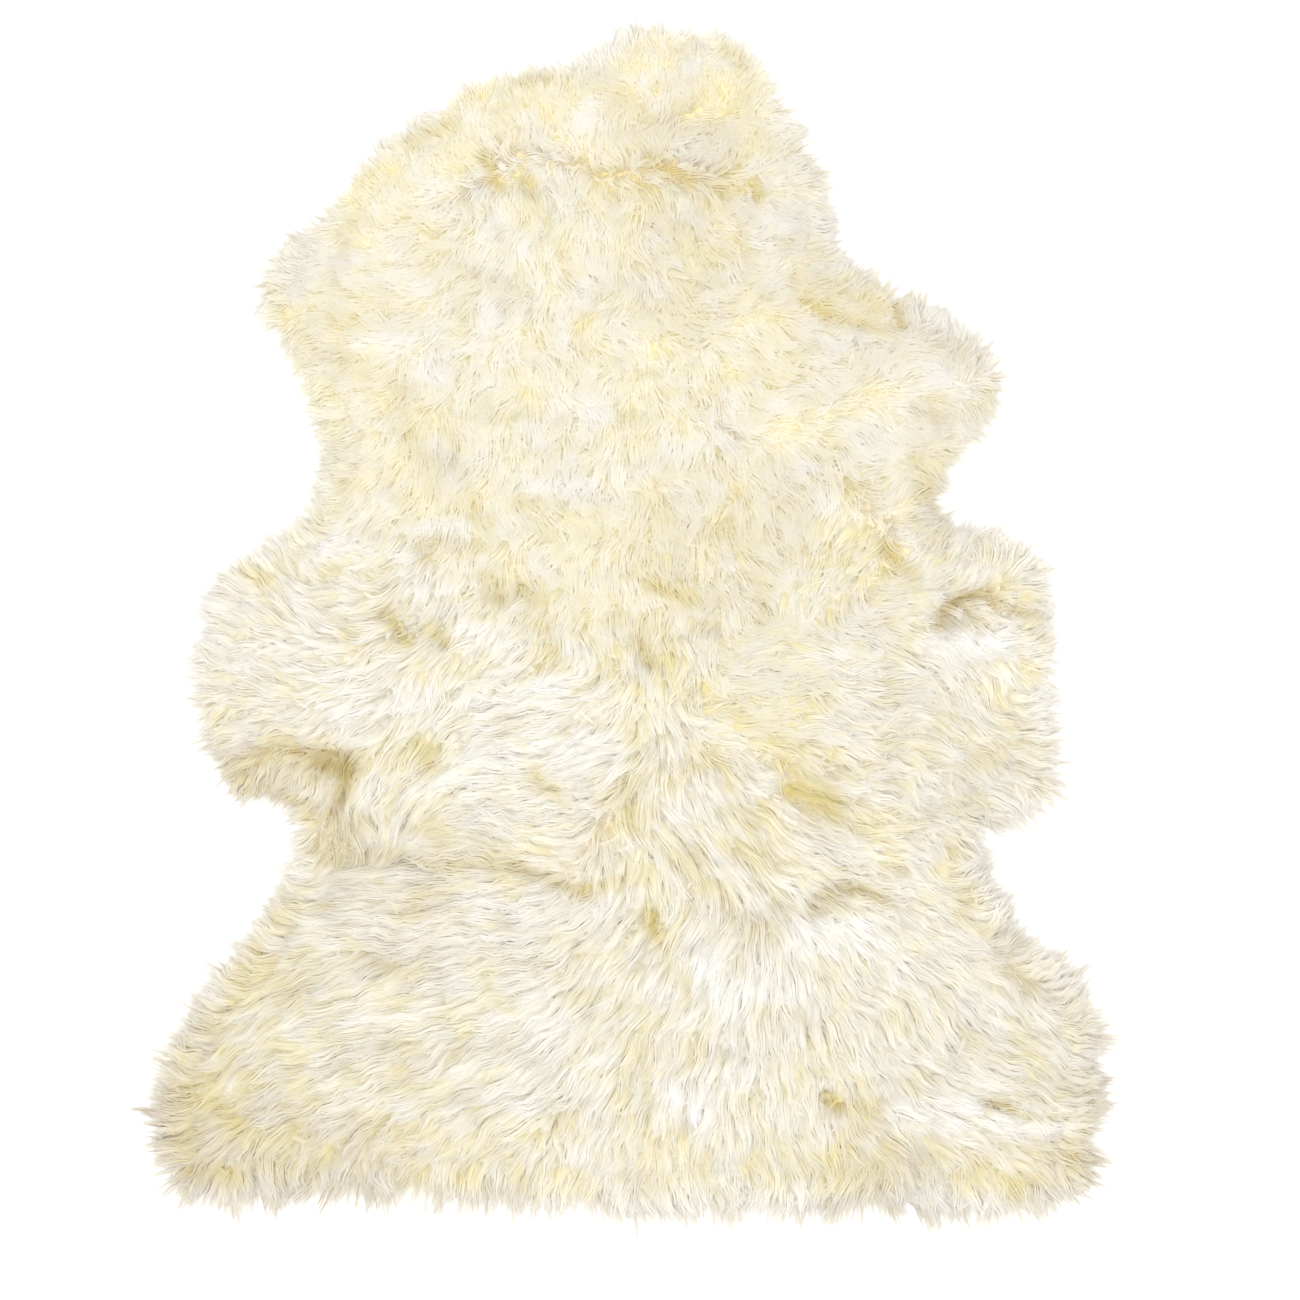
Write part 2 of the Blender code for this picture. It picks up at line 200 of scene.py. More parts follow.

# Spots and streaks of another tone: stained roots in the hollows, white puffs lit by a painted highlight,
# and folds, slits and hollows darkened by painted shade (the brown and shade tones).
# Each lies over those before it. Ends and half-widths are in millimetres.
MARKS = tuple(Mark(*(size / MM for size in row[:5]), *row[5:]) for row in (
    # neck and nape
    (-104, 500, -75, 503, 6, 0.59, BROWN, 0.5), (86, 532, 103, 515, 7, 0.7, YELLOW, 0.3),
    (9, 523, 64, 528, 7, 0.26, YELLOW), (-130, 426, -120, 403, 8.8, 0.8, OLIVE, 0.9),
    (-115, 420, -94, 429, 8, 0.45, WHITE), (-100, 414, -89, 406, 7.5, 0.85, OLIVE, 0.7),
    (-96, 402, -80, 372, 7, 0.6, YELLOW, 0.4), (-40, 420, -28, 410, 8.8, 0.45, OLIVE, 0.3),
    (-26, 402, -14, 386, 9, 0.5, OLIVE, 0.3), (-64, 438, -51, 406, 12, 0.3, CREAM),
    (26, 421, 54, 405, 9.5, 0.95, OLIVE, 0.6), (53, 407, 101, 394, 6.5, 0.6, OLIVE, 0.5),
    (113, 406, 117, 391, 5.2, 1, OLIVE, 0.9), (55, 470, 101, 438, 14, 0.5, OLIVE),
    (138, 438, 156, 401, 11, 0.26, ROSE), (-9, 484, 28, 456, 13, 0.5, OLIVE, 0.2),
    (101, 475, 129, 438, 9, 0.45, YELLOW, 0.3),
    # shoulders
    (-198, 445, -164, 459, 8.8, 0.7, YELLOW, 0.6), (-262, 401, -244, 415, 6, 0.53, YELLOW, 0.4),
    (-333, 309, -304, 355, 11, 0.33, ROSE, 0.2), (-329, 346, -313, 359, 6, 0.45, BROWN, 0.4),
    (-304, 272, -193, 282, 20, 0.33, YELLOW), (-304, 243, -258, 247, 8.8, 0.45, BEIGE, 0.6),
    (-258, 239, -201, 215, 10, 0.45, BEIGE, 0.7), (-248, 254, -212, 259, 9, 0.72, WHITE),
    (-193, 231, -175, 226, 9, 0.63, WHITE), (-28, 300, 64, 272, 18, 0.33, YELLOW),
    (-64, 364, 9, 337, 17, 0.33, CREAM), (159, 297, 180, 286, 8.8, 0.8, OLIVE, 0.8),
    (180, 286, 230, 271, 7.5, 0.8, OLIVE, 0.7), (244, 293, 248, 274, 5.6, 1, BROWN, 0.9),
    (248, 291, 304, 272, 12, 0.4, WHITE), (262, 234, 313, 222, 13, 0.4, WHITE),
    (265, 201, 283, 186, 8, 0.52, BROWN, 0.5), (156, 236, 248, 245, 13, 0.26, ROSE),
    (-184, 337, -101, 300, 18, 0.33, YELLOW),
    # waist
    (-101, 109, -66, 114, 7.5, 0.59, BEIGE, 0.8), (-92, 127, -37, 125, 11, 0.81, WHITE),
    (-189, 74, -155, 78, 7.5, 0.59, BEIGE, 0.8), (-189, 88, -152, 90, 8, 0.72, WHITE),
    (-212, 208, -175, 116, 11, 0.53, YELLOW, 0.3), (-166, 180, -138, 98, 9, 0.45, YELLOW, 0.2),
    (-276, 144, -258, 116, 7, 0.45, BEIGE, 0.4), (262, 153, 281, 116, 8, 0.8, YELLOW, 0.5),
    (271, 116, 283, 103, 6, 0.52, BROWN, 0.4), (-64, 208, -28, 190, 13, 0.45, WHITE),
    (55, 144, 120, 162, 15, 0.26, YELLOW), (9, 116, 64, 79, 15, 0.45, YELLOW, 0.2),
    (175, 116, 212, 98, 11, 0.36, WHITE), (101, 88, 156, 61, 11, 0.35, YELLOW, 0.2),
    # flanks
    (18, 84, 55, 24, 16, 0.5, YELLOW), (-18, 4, 18, -6, 12, 0.5, YELLOW),
    (149, 316, 212, 293, 12, 0.5, YELLOW), (-132, 44, -115, 26, 8.8, 0.8, OLIVE, 0.6),
    (-98, 33, -85, 24, 8.8, 1, OLIVE, 0.5), (18, 38, 55, 24, 7.5, 0.92, YELLOW, 0.7),
    (-223, 13, -202, -13, 8, 0.9, OLIVE, 0.8), (-184, -2, -169, -13, 8.8, 1, OLIVE, 0.5),
    (-202, 33, -184, 24, 11, 0.72, WHITE), (-147, -4, -120, -22, 13, 0.72, WHITE),
    (234, 72, 259, 44, 8.8, 0.8, OLIVE, 0.7), (-363, 56, -331, 42, 8, 0.7, YELLOW, 0.5),
    (-285, 24, -258, -4, 8, 0.45, YELLOW, 0.4), (-366, -127, -339, -116, 7, 0.9, BROWN, 0.5),
    (-342, -115, -304, -114, 8.5, 0.9, BROWN, 0.7), (-304, -115, -258, -120, 8.5, 1, BROWN, 0.9),
    (-285, -127, -259, -132, 9.5, 1, SHADE, 0.9), (-258, -131, -262, -153, 8.5, 1, SHADE, 0.8),
    (-262, -153, -278, -177, 7.5, 0.9, BROWN, 0.7), (-278, -177, -270, -202, 7, 0.7, BEIGE, 0.6),
    (-375, -132, -353, -140, 6, 0.8, BROWN, 0.6), (-353, -153, -324, -160, 6.5, 0.9, BROWN, 0.6),
    (-324, -160, -295, -166, 6.5, 0.9, BROWN, 0.7), (-339, -140, -311, -147, 4, 0.6, WHITE),
    (-361, -134, -304, -151, 10, 0.5, BEIGE), (-339, -129, -304, -131, 6, 0.5, BEIGE, 0.3),
    (-191, -109, -173, -116, 8.8, 0.85, YELLOW, 0.5), (-186, -116, -178, -132, 7.5, 0.8, OLIVE, 0.6),
    (-190, -150, -60, -110, 20, 0.65, WHITE), (-212, -68, -64, -59, 18, 0.65, WHITE),
    (9, -13, 18, -31, 7.5, 0.81, OLIVE, 0.7), (0, -86, 18, -197, 6, 0.45, YELLOW, 0.3),
    (281, -2, 286, 13, 5, 1, BROWN, 0.9), (286, 13, 296, 22, 5.8, 1, BROWN, 0.9),
    (296, 22, 309, 28, 6.5, 1, BROWN, 0.9), (309, 28, 324, 29, 6.2, 1, BROWN, 0.9),
    (324, 29, 335, 21, 5.5, 1, BROWN, 0.9), (335, 19, 355, 14, 5, 0.9, BEIGE, 0.8),
    (353, 12, 377, 8, 5, 0.9, BROWN, 0.6), (368, -7, 386, -14, 5, 0.8, BEIGE, 0.5),
    (280, -14, 340, -16, 12, 0.95, WHITE), (294, 40, 340, 42, 10, 0.5, ROSE),
    (396, -100, 405, -151, 7, 0.68, BEIGE, 0.3), (147, -149, 182, -160, 12, 1, OLIVE, 0.9),
    (170, -160, 186, -174, 10, 1, YELLOW, 0.8), (138, -123, 156, -142, 8.8, 0.81, YELLOW, 0.6),
    (64, -22, 156, -59, 22, 0.45, ROSE), (202, -68, 294, -123, 26, 0.38, PALE),
    (101, -86, 156, -114, 11, 0.51, YELLOW, 0.3), (-262, -171, -248, -204, 13, 0.55, BROWN, 0.3),
    # belly
    (-305, -209, -225, -213, 7.5, 0.68, BEIGE, 0.8), (-225, -213, -103, -220, 7.5, 0.68, BEIGE, 0.9),
    (-103, -220, -46, -243, 5.6, 1, BROWN, 0.8), (-46, -243, 11, -228, 7.5, 0.7, YELLOW, 0.6),
    (-276, -257, -262, -289, 7, 0.45, BEIGE, 0.4), (-193, -234, -101, -247, 9, 0.3, BEIGE, 0.3),
    (28, -192, 64, -234, 8, 0.45, YELLOW, 0.3), (92, -206, 147, -224, 11, 0.51, YELLOW, 0.3),
    (163, -267, 169, -253, 5.5, 0.8, BROWN, 0.8), (169, -253, 182, -245, 7.2, 0.8, BROWN, 0.8),
    (182, -245, 198, -240, 7.2, 0.8, BROWN, 0.8), (198, -240, 214, -242, 6, 0.8, BROWN, 0.8),
    (214, -242, 235, -252, 5.2, 0.9, BROWN, 0.7), (235, -252, 251, -260, 5, 0.8, BEIGE, 0.6),
    (177, -256, 195, -250, 7.5, 0.8, BEIGE, 0.4), (148, -276, 212, -272, 12.5, 1, WHITE),
    (156, -294, 230, -289, 11, 0.8, WHITE), (99, -287, 132, -280, 11, 0.7, BEIGE, 0.4),
    (20, -265, 23, -282, 9.5, 1, OLIVE, 1), (340, -280, 362, -290, 6, 0.9, GREY, 0.4),
    (340, -257, 355, -266, 6, 0.6, BEIGE, 0.5),
    # lighter swells of the wool: raised, with a painted highlight
    (-391, 24, -350, -13, 25, 0.35, WHITE), (-285, -31, -230, -59, 22, 0.4, WHITE),
    (-64, -73, 55, -88, 16, 0.4, WHITE), (-28, -201, 55, -192, 18, 0.4, WHITE),
    (350, -50, 377, -59, 20, 0.35, WHITE), (248, -312, 304, -353, 18, 0.4, WHITE),
    (-285, -413, -202, -441, 20, 0.4, WHITE), (-138, -257, -92, -261, 14, 0.4, WHITE),
    (-101, -344, -28, -399, 30, 0.3, WHITE), (64, 171, 120, 167, 20, 0.4, WHITE),
    (248, -519, 331, -528, 14, 0.4, WHITE), (-322, 75, -212, 63, 16, 0.35, WHITE),
    (-304, -73, -138, -100, 18, 0.35, WHITE), (-37, -105, -9, -151, 20, 0.4, WHITE),
    (-28, -312, 28, -335, 18, 0.45, WHITE), (-92, -252, -28, -257, 14, 0.35, WHITE),
    (138, -234, 202, -252, 16, 0.35, WHITE), (92, -399, 120, -436, 20, 0.4, WHITE),
    (-78, -454, -46, -464, 18, 0.4, WHITE), (-267, -298, -239, -305, 14, 0.45, WHITE),
    # yellowed patches
    (9, 61, 64, 33, 18, 0.4, YELLOW), (138, 107, 156, 88, 12, 0.4, YELLOW),
    (-212, 33, -193, 15, 12, 0.4, YELLOW), (-166, -59, -110, -61, 10, 0.4, CREAM),
    (-170, -132, -120, -151, 14, 0.45, CREAM), (55, -178, 64, -206, 12, 0.4, YELLOW),
    (23, -257, 32, -275, 8, 0.5, YELLOW), (-166, -422, -120, -445, 14, 0.4, CREAM),
    (-9, -418, 9, -473, 12, 0.4, CREAM), (-78, 24, -69, -36, 6, 0.5, OLIVE),
    (-88, -134, -83, -145, 7, 0.8, OLIVE, 0.5), (-70, -149, -63, -162, 7, 0.8, OLIVE, 0.5),
    (-4, -151, 6, -186, 9, 0.8, OLIVE, 0.6), (121, 20, 120, 4, 6, 0.8, OLIVE, 0.5),
    (15, -35, 28, -40, 6, 0.7, BROWN, 0.3), (52, -203, 63, -213, 7, 0.6, BROWN, 0.3),
    # duller hollows and edges: painted shade
    (-175, -188, -129, -206, 18, 0.45, YELLOW), (-184, -293, -64, -309, 14, 0.4, BEIGE),
    (-83, 438, -64, 406, 20, 0.35, BEIGE), (18, 456, 64, 438, 18, 0.35, BEIGE),
    (170, -137, 184, -160, 11, 0.7, YELLOW, 0.4), (-258, -211, -239, -224, 20, 0.35, BEIGE),
    (-373, -134, -339, -144, 12, 0.6, BROWN), (414, -344, 437, -399, 20, 0.4, BEIGE),
    (331, -459, 396, -473, 14, 0.4, BEIGE), (-423, -473, -368, -482, 20, 0.4, BROWN),
    (-9, -482, 9, -510, 12, 0.4, BEIGE), (83, 17, 129, 4, 18, 0.4, BEIGE),
    (198, 10, 244, -8, 18, 0.4, BEIGE), (331, -116, 382, -134, 20, 0.5, BEIGE),
    (239, 282, 290, 254, 25, 0.35, BEIGE), (-74, 151, -46, 125, 20, 0.3, BEIGE),
    (-262, 157, -241, 134, 16, 0.3, BEIGE), (-313, -358, -212, -349, 14, 0.35, BEIGE),
    (-359, -147, -317, -155, 9, 0.75, BROWN, 0.2), (-237, -177, -287, -202, 9, 0.6, BROWN, 0.3),
    # haunches and rump
    (-396, -473, -340, -491, 20, 0.5, BEIGE), (-304, -344, -212, -399, 30, 0.3, OAT),
    (-405, -454, -271, -482, 16, 0.35, YELLOW), (90, -257, 124, -282, 12, 0.6, BEIGE, 0.3),
    (64, -307, 92, -344, 17, 0.9, WHITE), (92, -330, 156, -335, 11, 0.85, WHITE),
    (37, -427, 64, -445, 13, 0.9, WHITE), (9, -307, 18, -473, 6, 0.5, YELLOW, 0.4),
    (-9, -344, -2, -436, 5, 0.4, YELLOW, 0.3), (-317, -316, -212, -307, 17, 0.45, BEIGE),
    (9, -344, 64, -399, 18, 0.22, PALE), (101, -353, 175, -362, 13, 0.3, BEIGE, 0.3),
    (180, -431, 190, -437, 9, 1, OLIVE, 1), (212, -436, 225, -445, 8.8, 0.7, OLIVE, 0.7),
    (324, -432, 344, -438, 4.6, 1, BROWN, 0.8), (344, -440, 361, -447, 5, 1, OLIVE, 0.8),
    (361, -447, 397, -448, 4.6, 0.9, BEIGE, 0.7), (304, -362, 350, -399, 11, 0.38, BEIGE, 0.4),
    (248, -445, 396, -454, 17, 0.7, WHITE), (166, -496, 276, -496, 9, 0.6, BEIGE, 0.4),
    (-405, -427, -375, -436, 10, 0.92, YELLOW, 0.6), (-423, -436, -396, -500, 20, 0.9, BROWN, 0.2),
    (-391, -349, -412, -445, 16, 0.3, BROWN), (414, -496, 429, -489, 7, 0.81, BROWN, 0.4),
    (-120, -431, -64, -441, 11, 0.45, WHITE), (-212, -399, -193, -445, 13, 0.3, BEIGE, 0.2),
    (-304, -326, -267, -344, 9, 0.38, ROSE), (-377, -499, -359, -502, 8.8, 0.92, OLIVE, 0.6),
    (-340, -482, -193, -496, 13, 0.38, BEIGE, 0.2), (-64, -454, -9, -473, 9, 0.3, YELLOW, 0.3),
    (64, -491, 138, -482, 11, 0.3, BEIGE), (-304, -362, -193, -358, 11, 0.45, WHITE),
    (-166, -289, -64, -298, 15, 0.25, WHITE), (230, -326, 304, -344, 17, 0.3, ROSE),
))


def unit(x: Array, y: Array) -> tuple[Array, Array]:
    """The same directions, with a length of 1."""
    size = np.hypot(x, y) + TINY
    return x / size, y / size


def run_along(points: Array) -> Array:
    """Length along a line of points, from its first point to each of them."""
    return np.concatenate([[0.0], np.cumsum(np.linalg.norm(np.diff(points, axis=0), axis=1))])


def neighbours(values: Array, shifts: tuple[int, ...]) -> Array:
    """The sum of a grid's values, moved by each shift along each of its two sides."""
    return sum(np.roll(values, shift, axis=axis) for shift in shifts for axis in (0, 1))


def to_edges(values: Array) -> Array:
    """Values at a strip's points, given to both of its edges, and once to its tip."""
    return np.concatenate([np.repeat(values[:, :-1], 2, axis=1), values[:, -1:]], axis=1)


def triangular_grid(spacing: float) -> tuple[Array, Array]:
    """Points of a grid of even triangles over the whole pelt.

    Args:
        spacing: The sides of the triangles.

    Returns:
        X and Y of the points, flat. Every second row is moved by half the spacing, and the rows
        are spacing x sin(60 degrees) apart.
    """
    pitch = spacing * math.sin(math.radians(60))
    column, row = np.meshgrid(np.arange(int(SPAN[0] / spacing)), np.arange(int(SPAN[1] / pitch)))
    x = (column + 0.5 * (row % 2)) * spacing - SPAN[0] / 2
    y = row * pitch - SPAN[1] / 2
    return x.ravel(), y.ravel()


@dataclass(frozen=True)
class Drift:
    """A smooth random drift over the floor: a sum of cosine waves of about one length, with unit spread."""

    seed: int
    wavelength: float
    waves: int = 14
    spread: float = 0.45

    def at(self, x: Array, y: Array) -> Array:
        """The drift at each point.

        Args:
            x: Places along X.
            y: Places along Y.

        Returns:
            Values with mean 0 and spread 1: the sum of cos(k.p + phase) over the waves, times
            the root of 2 / waves.
        """
        rng = np.random.default_rng(self.seed)
        angle = rng.uniform(0.0, 2 * math.pi, self.waves)
        size = 2 * math.pi / self.wavelength * rng.uniform(1 - self.spread, 1 + self.spread, self.waves)
        phase = rng.uniform(0.0, 2 * math.pi, self.waves)
        total = np.zeros_like(x)
        for kx, ky, shift in zip(size * np.cos(angle), size * np.sin(angle), phase):
            total = total + np.cos(kx * x + ky * y + shift)
        return total * math.sqrt(2 / self.waves)


@dataclass
class Outline:
    """The pelt seen from above: the reach of its wool, and the foot of the slab inside it."""

    rows: tuple[Turn, ...] = OUTLINE
    span_steps: int = 24
    samples: int = 560
    evening: int = 12
    batch: int = 20000
    shift: tuple[float, float] = (0.0006, -0.0009)
    reach: Array = field(init=False)
    foot: Array = field(init=False)
    lock: Array = field(init=False)
    away: Array = field(init=False)

    def __post_init__(self) -> None:
        """Works out the even reach, its outward directions and the foot."""
        loop = self._even(self._smooth(np.array(self.rows)))
        self.lock = loop[:, 2]
        self.away = self._outward(loop)
        self.reach = loop[:, :2] + np.array(self.shift)
        self.foot = self.reach - self.away * self.lock[:, None]

    def _smooth(self, points: Array) -> Array:
        """A closed Catmull-Rom curve through the rows.

        Args:
            points: The rows, as an array with a row each.

        Returns:
            The curve's points, span_steps for each row.
        """
        t = (np.arange(self.span_steps) / self.span_steps)[None, :, None]
        a, b, c, d = (np.roll(points, shift, axis=0)[:, None, :] for shift in (1, 0, -1, -2))
        curve = b + 0.5 * t * (c - a + t * (2 * a - 5 * b + 4 * c - d + t * (3 * (b - c) + d - a)))
        return curve.reshape(-1, points.shape[1])

    def _even(self, loop: Array) -> Array:
        """The same closed loop, as evenly spaced points."""
        closed = np.vstack([loop, loop[:1]])
        run = run_along(closed[:, :2])
        wanted = np.arange(self.samples) / self.samples * run[-1]
        return np.stack([np.interp(wanted, run, column) for column in closed.T], axis=1)

    def _outward(self, loop: Array) -> Array:
        """Unit vectors away from the clockwise loop, averaged over a few neighbours."""
        tangent = np.roll(loop[:, :2], -1, axis=0) - np.roll(loop[:, :2], 1, axis=0)
        normal = np.stack([-tangent[:, 1], tangent[:, 0]], axis=1)
        for _ in range(self.evening):
            normal = (np.roll(normal, 1, axis=0) + 2 * normal + np.roll(normal, -1, axis=0)) / 4
        return normal / np.linalg.norm(normal, axis=1)[:, None]

    def area(self) -> float:
        """The floor that the foot encloses, by the shoelace formula."""
        x, y = self.foot.T
        return abs(float(np.sum(x * np.roll(y, -1) - y * np.roll(x, -1)))) / 2

    def inside(self, x: Array, y: Array) -> Array:
        """Whether each point lies inside the foot.

        Args:
            x: Places along X.
            y: Places along Y.

        Returns:
            True where a ray to the right crosses the foot an odd number of times.
        """
        ax, ay = self.foot.T
        bx, by = np.roll(self.foot, -1, axis=0).T
        odd = np.zeros(x.shape, bool)
        for x0, y0, x1, y1 in zip(ax, ay, bx, by):
            if y0 == y1:
                continue
            spans = (y0 > y) != (y1 > y)
            odd ^= spans & (x < x0 + (y - y0) * (x1 - x0) / (y1 - y0))
        return odd

    def nearest(self, x: Array, y: Array) -> tuple[Array, Array]:
        """The nearest point of the foot to each place.

        Args:
            x: Places along X, flat.
            y: Places along Y, flat.

        Returns:
            The index of the foot's point, and the distance to it.
        """
        best = np.zeros(len(x), int)
        distance = np.zeros(len(x))
        for start in range(0, len(x), self.batch):
            part = slice(start, start + self.batch)
            apart = np.hypot(x[part, None] - self.foot[:, 0], y[part, None] - self.foot[:, 1])
            best[part] = apart.argmin(axis=1)
            distance[part] = apart.min(axis=1)
        return best, distance


@dataclass
class WoolMap:
    """Smooth fields over the pelt on one even grid: inset from the foot, height, combing and tone.

    Sizes are in metres. The tones and dusts are how far each drift changes the chart's values.
    """

    outline: Outline
    cell: float = 0.003
    margin: float = 0.03
    rim_height: float = 0.016
    low: float = 0.0015
    lattice: int = 9
    filling: int = 4
    smoothing: int = 2
    reach_of_comb: float = 0.048
    far_share: float = 1e-9
    far_from: float = 0.01
    turn_out: float = 0.018
    turned: float = 0.9
    spread_from: float = 7.0
    spread_range: float = 26.0
    slender: float = 0.22
    uneven: float = 0.6
    streak_tone: float = 0.06
    clump_tone: float = 0.12
    patch_tone: float = 0.15
    broad_tone: float = 0.09
    streak_dust: float = 0.045
    clump_dust: float = 0.035
    opened: float = 0.5
    sink: float = 0.16
    swell: float = 0.08
    fields: dict[str, Array] = field(init=False, default_factory=dict)

    def __post_init__(self) -> None:
        """Lays the grid and fills its fields."""
        span = np.abs(self.outline.reach).max(axis=0) + self.margin
        self.left, self.bottom = -span
        self.columns, self.rows = (int(v) for v in np.ceil(2 * span / self.cell) + 1)
        column, row = np.meshgrid(np.arange(self.columns), np.arange(self.rows))
        self.x = self.left + column * self.cell
        self.y = self.bottom + row * self.cell
        self._fill_inset()
        self._fill_height()
        self._fill_combing()
        self._fill_marks()

    def _fill_inset(self) -> None:
        """Distance in from the foot (below 0 outside it), the lock length there and the way out."""
        fields = self.fields
        index, distance = self.outline.nearest(self.x.ravel(), self.y.ravel())
        inside = self.outline.inside(self.x, self.y)
        fields["inset"] = np.where(inside, 1.0, -1.0) * distance.reshape(self.x.shape)
        fields["lock"] = self.outline.lock[index].reshape(self.x.shape)
        fields["out_x"] = self.outline.away[index, 0].reshape(self.x.shape)
        fields["out_y"] = self.outline.away[index, 1].reshape(self.x.shape)

    def _fill_height(self) -> None:
        """Height of the wool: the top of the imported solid, and a slope down to the floor past its rim.

        Each triangle of the solid is sampled on an even lattice of its own, and the highest sample
        in each cell is kept. Cells that no sample falls in take the mean of their neighbours.
        """
        fields = self.fields
        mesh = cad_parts[NODE].data
        mesh.calc_loop_triangles()
        corners = np.zeros(3 * len(mesh.loop_triangles), np.int32)
        mesh.loop_triangles.foreach_get("vertices", corners)
        a, b, c = np.moveaxis(vertices_of(mesh)[corners.reshape(-1, 3)], 1, 0)
        i, j = np.meshgrid(np.arange(self.lattice + 1), np.arange(self.lattice + 1))
        keep = i + j <= self.lattice
        u = (i[keep] / self.lattice)[None, :, None]
        v = (j[keep] / self.lattice)[None, :, None]
        spots = (a[:, None] * (1 - u - v) + b[:, None] * u + c[:, None] * v).reshape(-1, 3)
        column = np.clip(np.rint((spots[:, 0] - self.left) / self.cell).astype(int), 0, self.columns - 1)
        row = np.clip(np.rint((spots[:, 1] - self.bottom) / self.cell).astype(int), 0, self.rows - 1)
        height = np.zeros(self.x.shape)
        np.maximum.at(height, (row, column), spots[:, 2])
        inset = fields["inset"]
        known = (height > 0) & (inset > 0)
        for _ in range(self.filling):
            total = neighbours(height * known, (-1, 1))
            count = neighbours(known.astype(float), (-1, 1))
            fresh = ~known & (inset > 0) & (count > 0)
            height = np.where(fresh, total / np.maximum(count, 1), height)
            known |= fresh
        height = np.where(known, height, self.rim_height)
        slope = np.clip(1 + inset / fields["lock"], 0.0, 1.0)
        outside = self.low + (self.rim_height - self.low) * slope
        height = np.where(inset > 0, np.maximum(height, self.low), outside)
        for _ in range(self.smoothing):
            height = neighbours(height, (-1, 0, 1)) / 6
        fields["height"] = height

    def _fill_combing(self) -> None:
        """The chart's rows, blended by nearness: weights fall off as a bell curve of the distance.

        Near the foot the heading turns outwards. The spread is how fast the headings draw apart.
        """
        fields = self.fields
        total = np.zeros(self.x.shape)
        names = ("head_x", "head_y", "length", "wave", "warmth", "dust_and_shade")
        sums = {name: np.zeros(self.x.shape) for name in names}
        for row in COMBING:
            distance = np.hypot(self.x - row.x, self.y - row.y)
            weight = np.exp(-((distance / self.reach_of_comb) ** 2))
            weight = weight + self.far_share / (distance + self.far_from) ** 4
            angle = math.radians(row.heading)
            values = (math.cos(angle), math.sin(angle), row.length, row.wave, *row.tone.value)
            for name, value in zip(names, values):
                sums[name] += weight * value
            total += weight
        for name, value in sums.items():
            fields[name] = value / total
        head_x, head_y = unit(fields["head_x"], fields["head_y"])
        edge = np.exp(-((np.maximum(fields["inset"], 0.0) / self.turn_out) ** 2)) * self.turned
        head_x = head_x * (1 - edge) + fields["out_x"] * edge
        head_y = head_y * (1 - edge) + fields["out_y"] * edge
        head_x, head_y = unit(head_x, head_y)
        spread = np.gradient(head_x, self.cell, axis=1) + np.gradient(head_y, self.cell, axis=0)
        fields["spread"] = np.clip((spread - self.spread_from) / self.spread_range, 0.0, 1.0)
        fields["head_x"] = head_x
        fields["head_y"] = head_y
        fields["run"] = self._potential(head_x, head_y)
        fields["beside"] = self._potential(-head_y, head_x)

    def _potential(self, across: Array, along: Array) -> Array:
        """A field that rises the way a field of directions points, as evenly as it can.

        Args:
            across: X of the directions.
            along: Y of the directions.

        Returns:
            The field F with Laplace(F) = d across / dx + d along / dy, by Fourier transforms.
        """
        kx = 2 * math.pi * np.fft.fftfreq(self.columns, self.cell)[None, :]
        ky = 2 * math.pi * np.fft.fftfreq(self.rows, self.cell)[:, None]
        slope = 1j * (kx * np.fft.fft2(across) + ky * np.fft.fft2(along))
        square = kx**2 + ky**2
        square[0, 0] = 1.0
        return np.real(np.fft.ifft2(-slope / square))

    def _fill_marks(self) -> None:
        """Uneven tones, streaks along the comb, and the marks blended over them."""
        fields = self.fields
        beside, run = fields["beside"], self.slender * fields["run"]
        streak, grey = (
            Drift(seed, wavelength, 20, self.uneven).at(beside, run)
            for seed, wavelength in ((41, 0.016), (44, 0.013)))
        patch, dull, clump = (
            Drift(seed, wavelength, 20, self.uneven).at(self.x, self.y)
            for seed, wavelength in ((42, 0.050), (45, 0.040), (46, 0.024)))
        broad = Drift(43, 0.140).at(self.x, self.y)
        change = self.streak_tone * streak + self.clump_tone * clump
        change = change + self.patch_tone * patch + self.broad_tone * broad
        fields["warmth"] = fields["warmth"] + change
        change = self.streak_dust * (grey + dull) + self.clump_dust * clump
        fields["dust_and_shade"] = fields["dust_and_shade"] + fields["wave"] * change
        for name in ("parting", "swell_and_highlight", "deep warmth", "deep dust_and_shade"):
            fields[name] = np.zeros(self.x.shape)
        for mark in MARKS:
            span = np.array([mark.x1 - mark.x0, mark.y1 - mark.y0])
            share = ((self.x - mark.x0) * span[0] + (self.y - mark.y0) * span[1]) / (span @ span)
            share = np.clip(share, 0.0, 1.0)
            apart = np.hypot(self.x - mark.x0 - share * span[0], self.y - mark.y0 - share * span[1])
            part = mark.strength * np.exp(-((apart / mark.width) ** 2))
            parting = mark.parting * part
            # where a brown or shade mark lies, the blended tone and the deep tones are painted shade
            stain_and_shade = part * (1 - self.opened * mark.parting)
            for name, value in zip(("warmth", "dust_and_shade"), mark.tone.value):
                fields[name] = fields[name] * (1 - stain_and_shade) + value * stain_and_shade
                fields["deep " + name] = fields["deep " + name] * (1 - parting) + value * parting
            fields["parting"] = np.maximum(fields["parting"], parting)
            # white marks raise the wool, and their strands get a painted highlight: whiter tips and less
            # painted shade
            if mark.tone is Tone.WHITE:
                fields["swell_and_highlight"] = np.maximum(fields["swell_and_highlight"], part)
        change = self.swell * fields["swell_and_highlight"] - self.sink * fields["parting"]
        fields["height"] = fields["height"] * (1 + change)

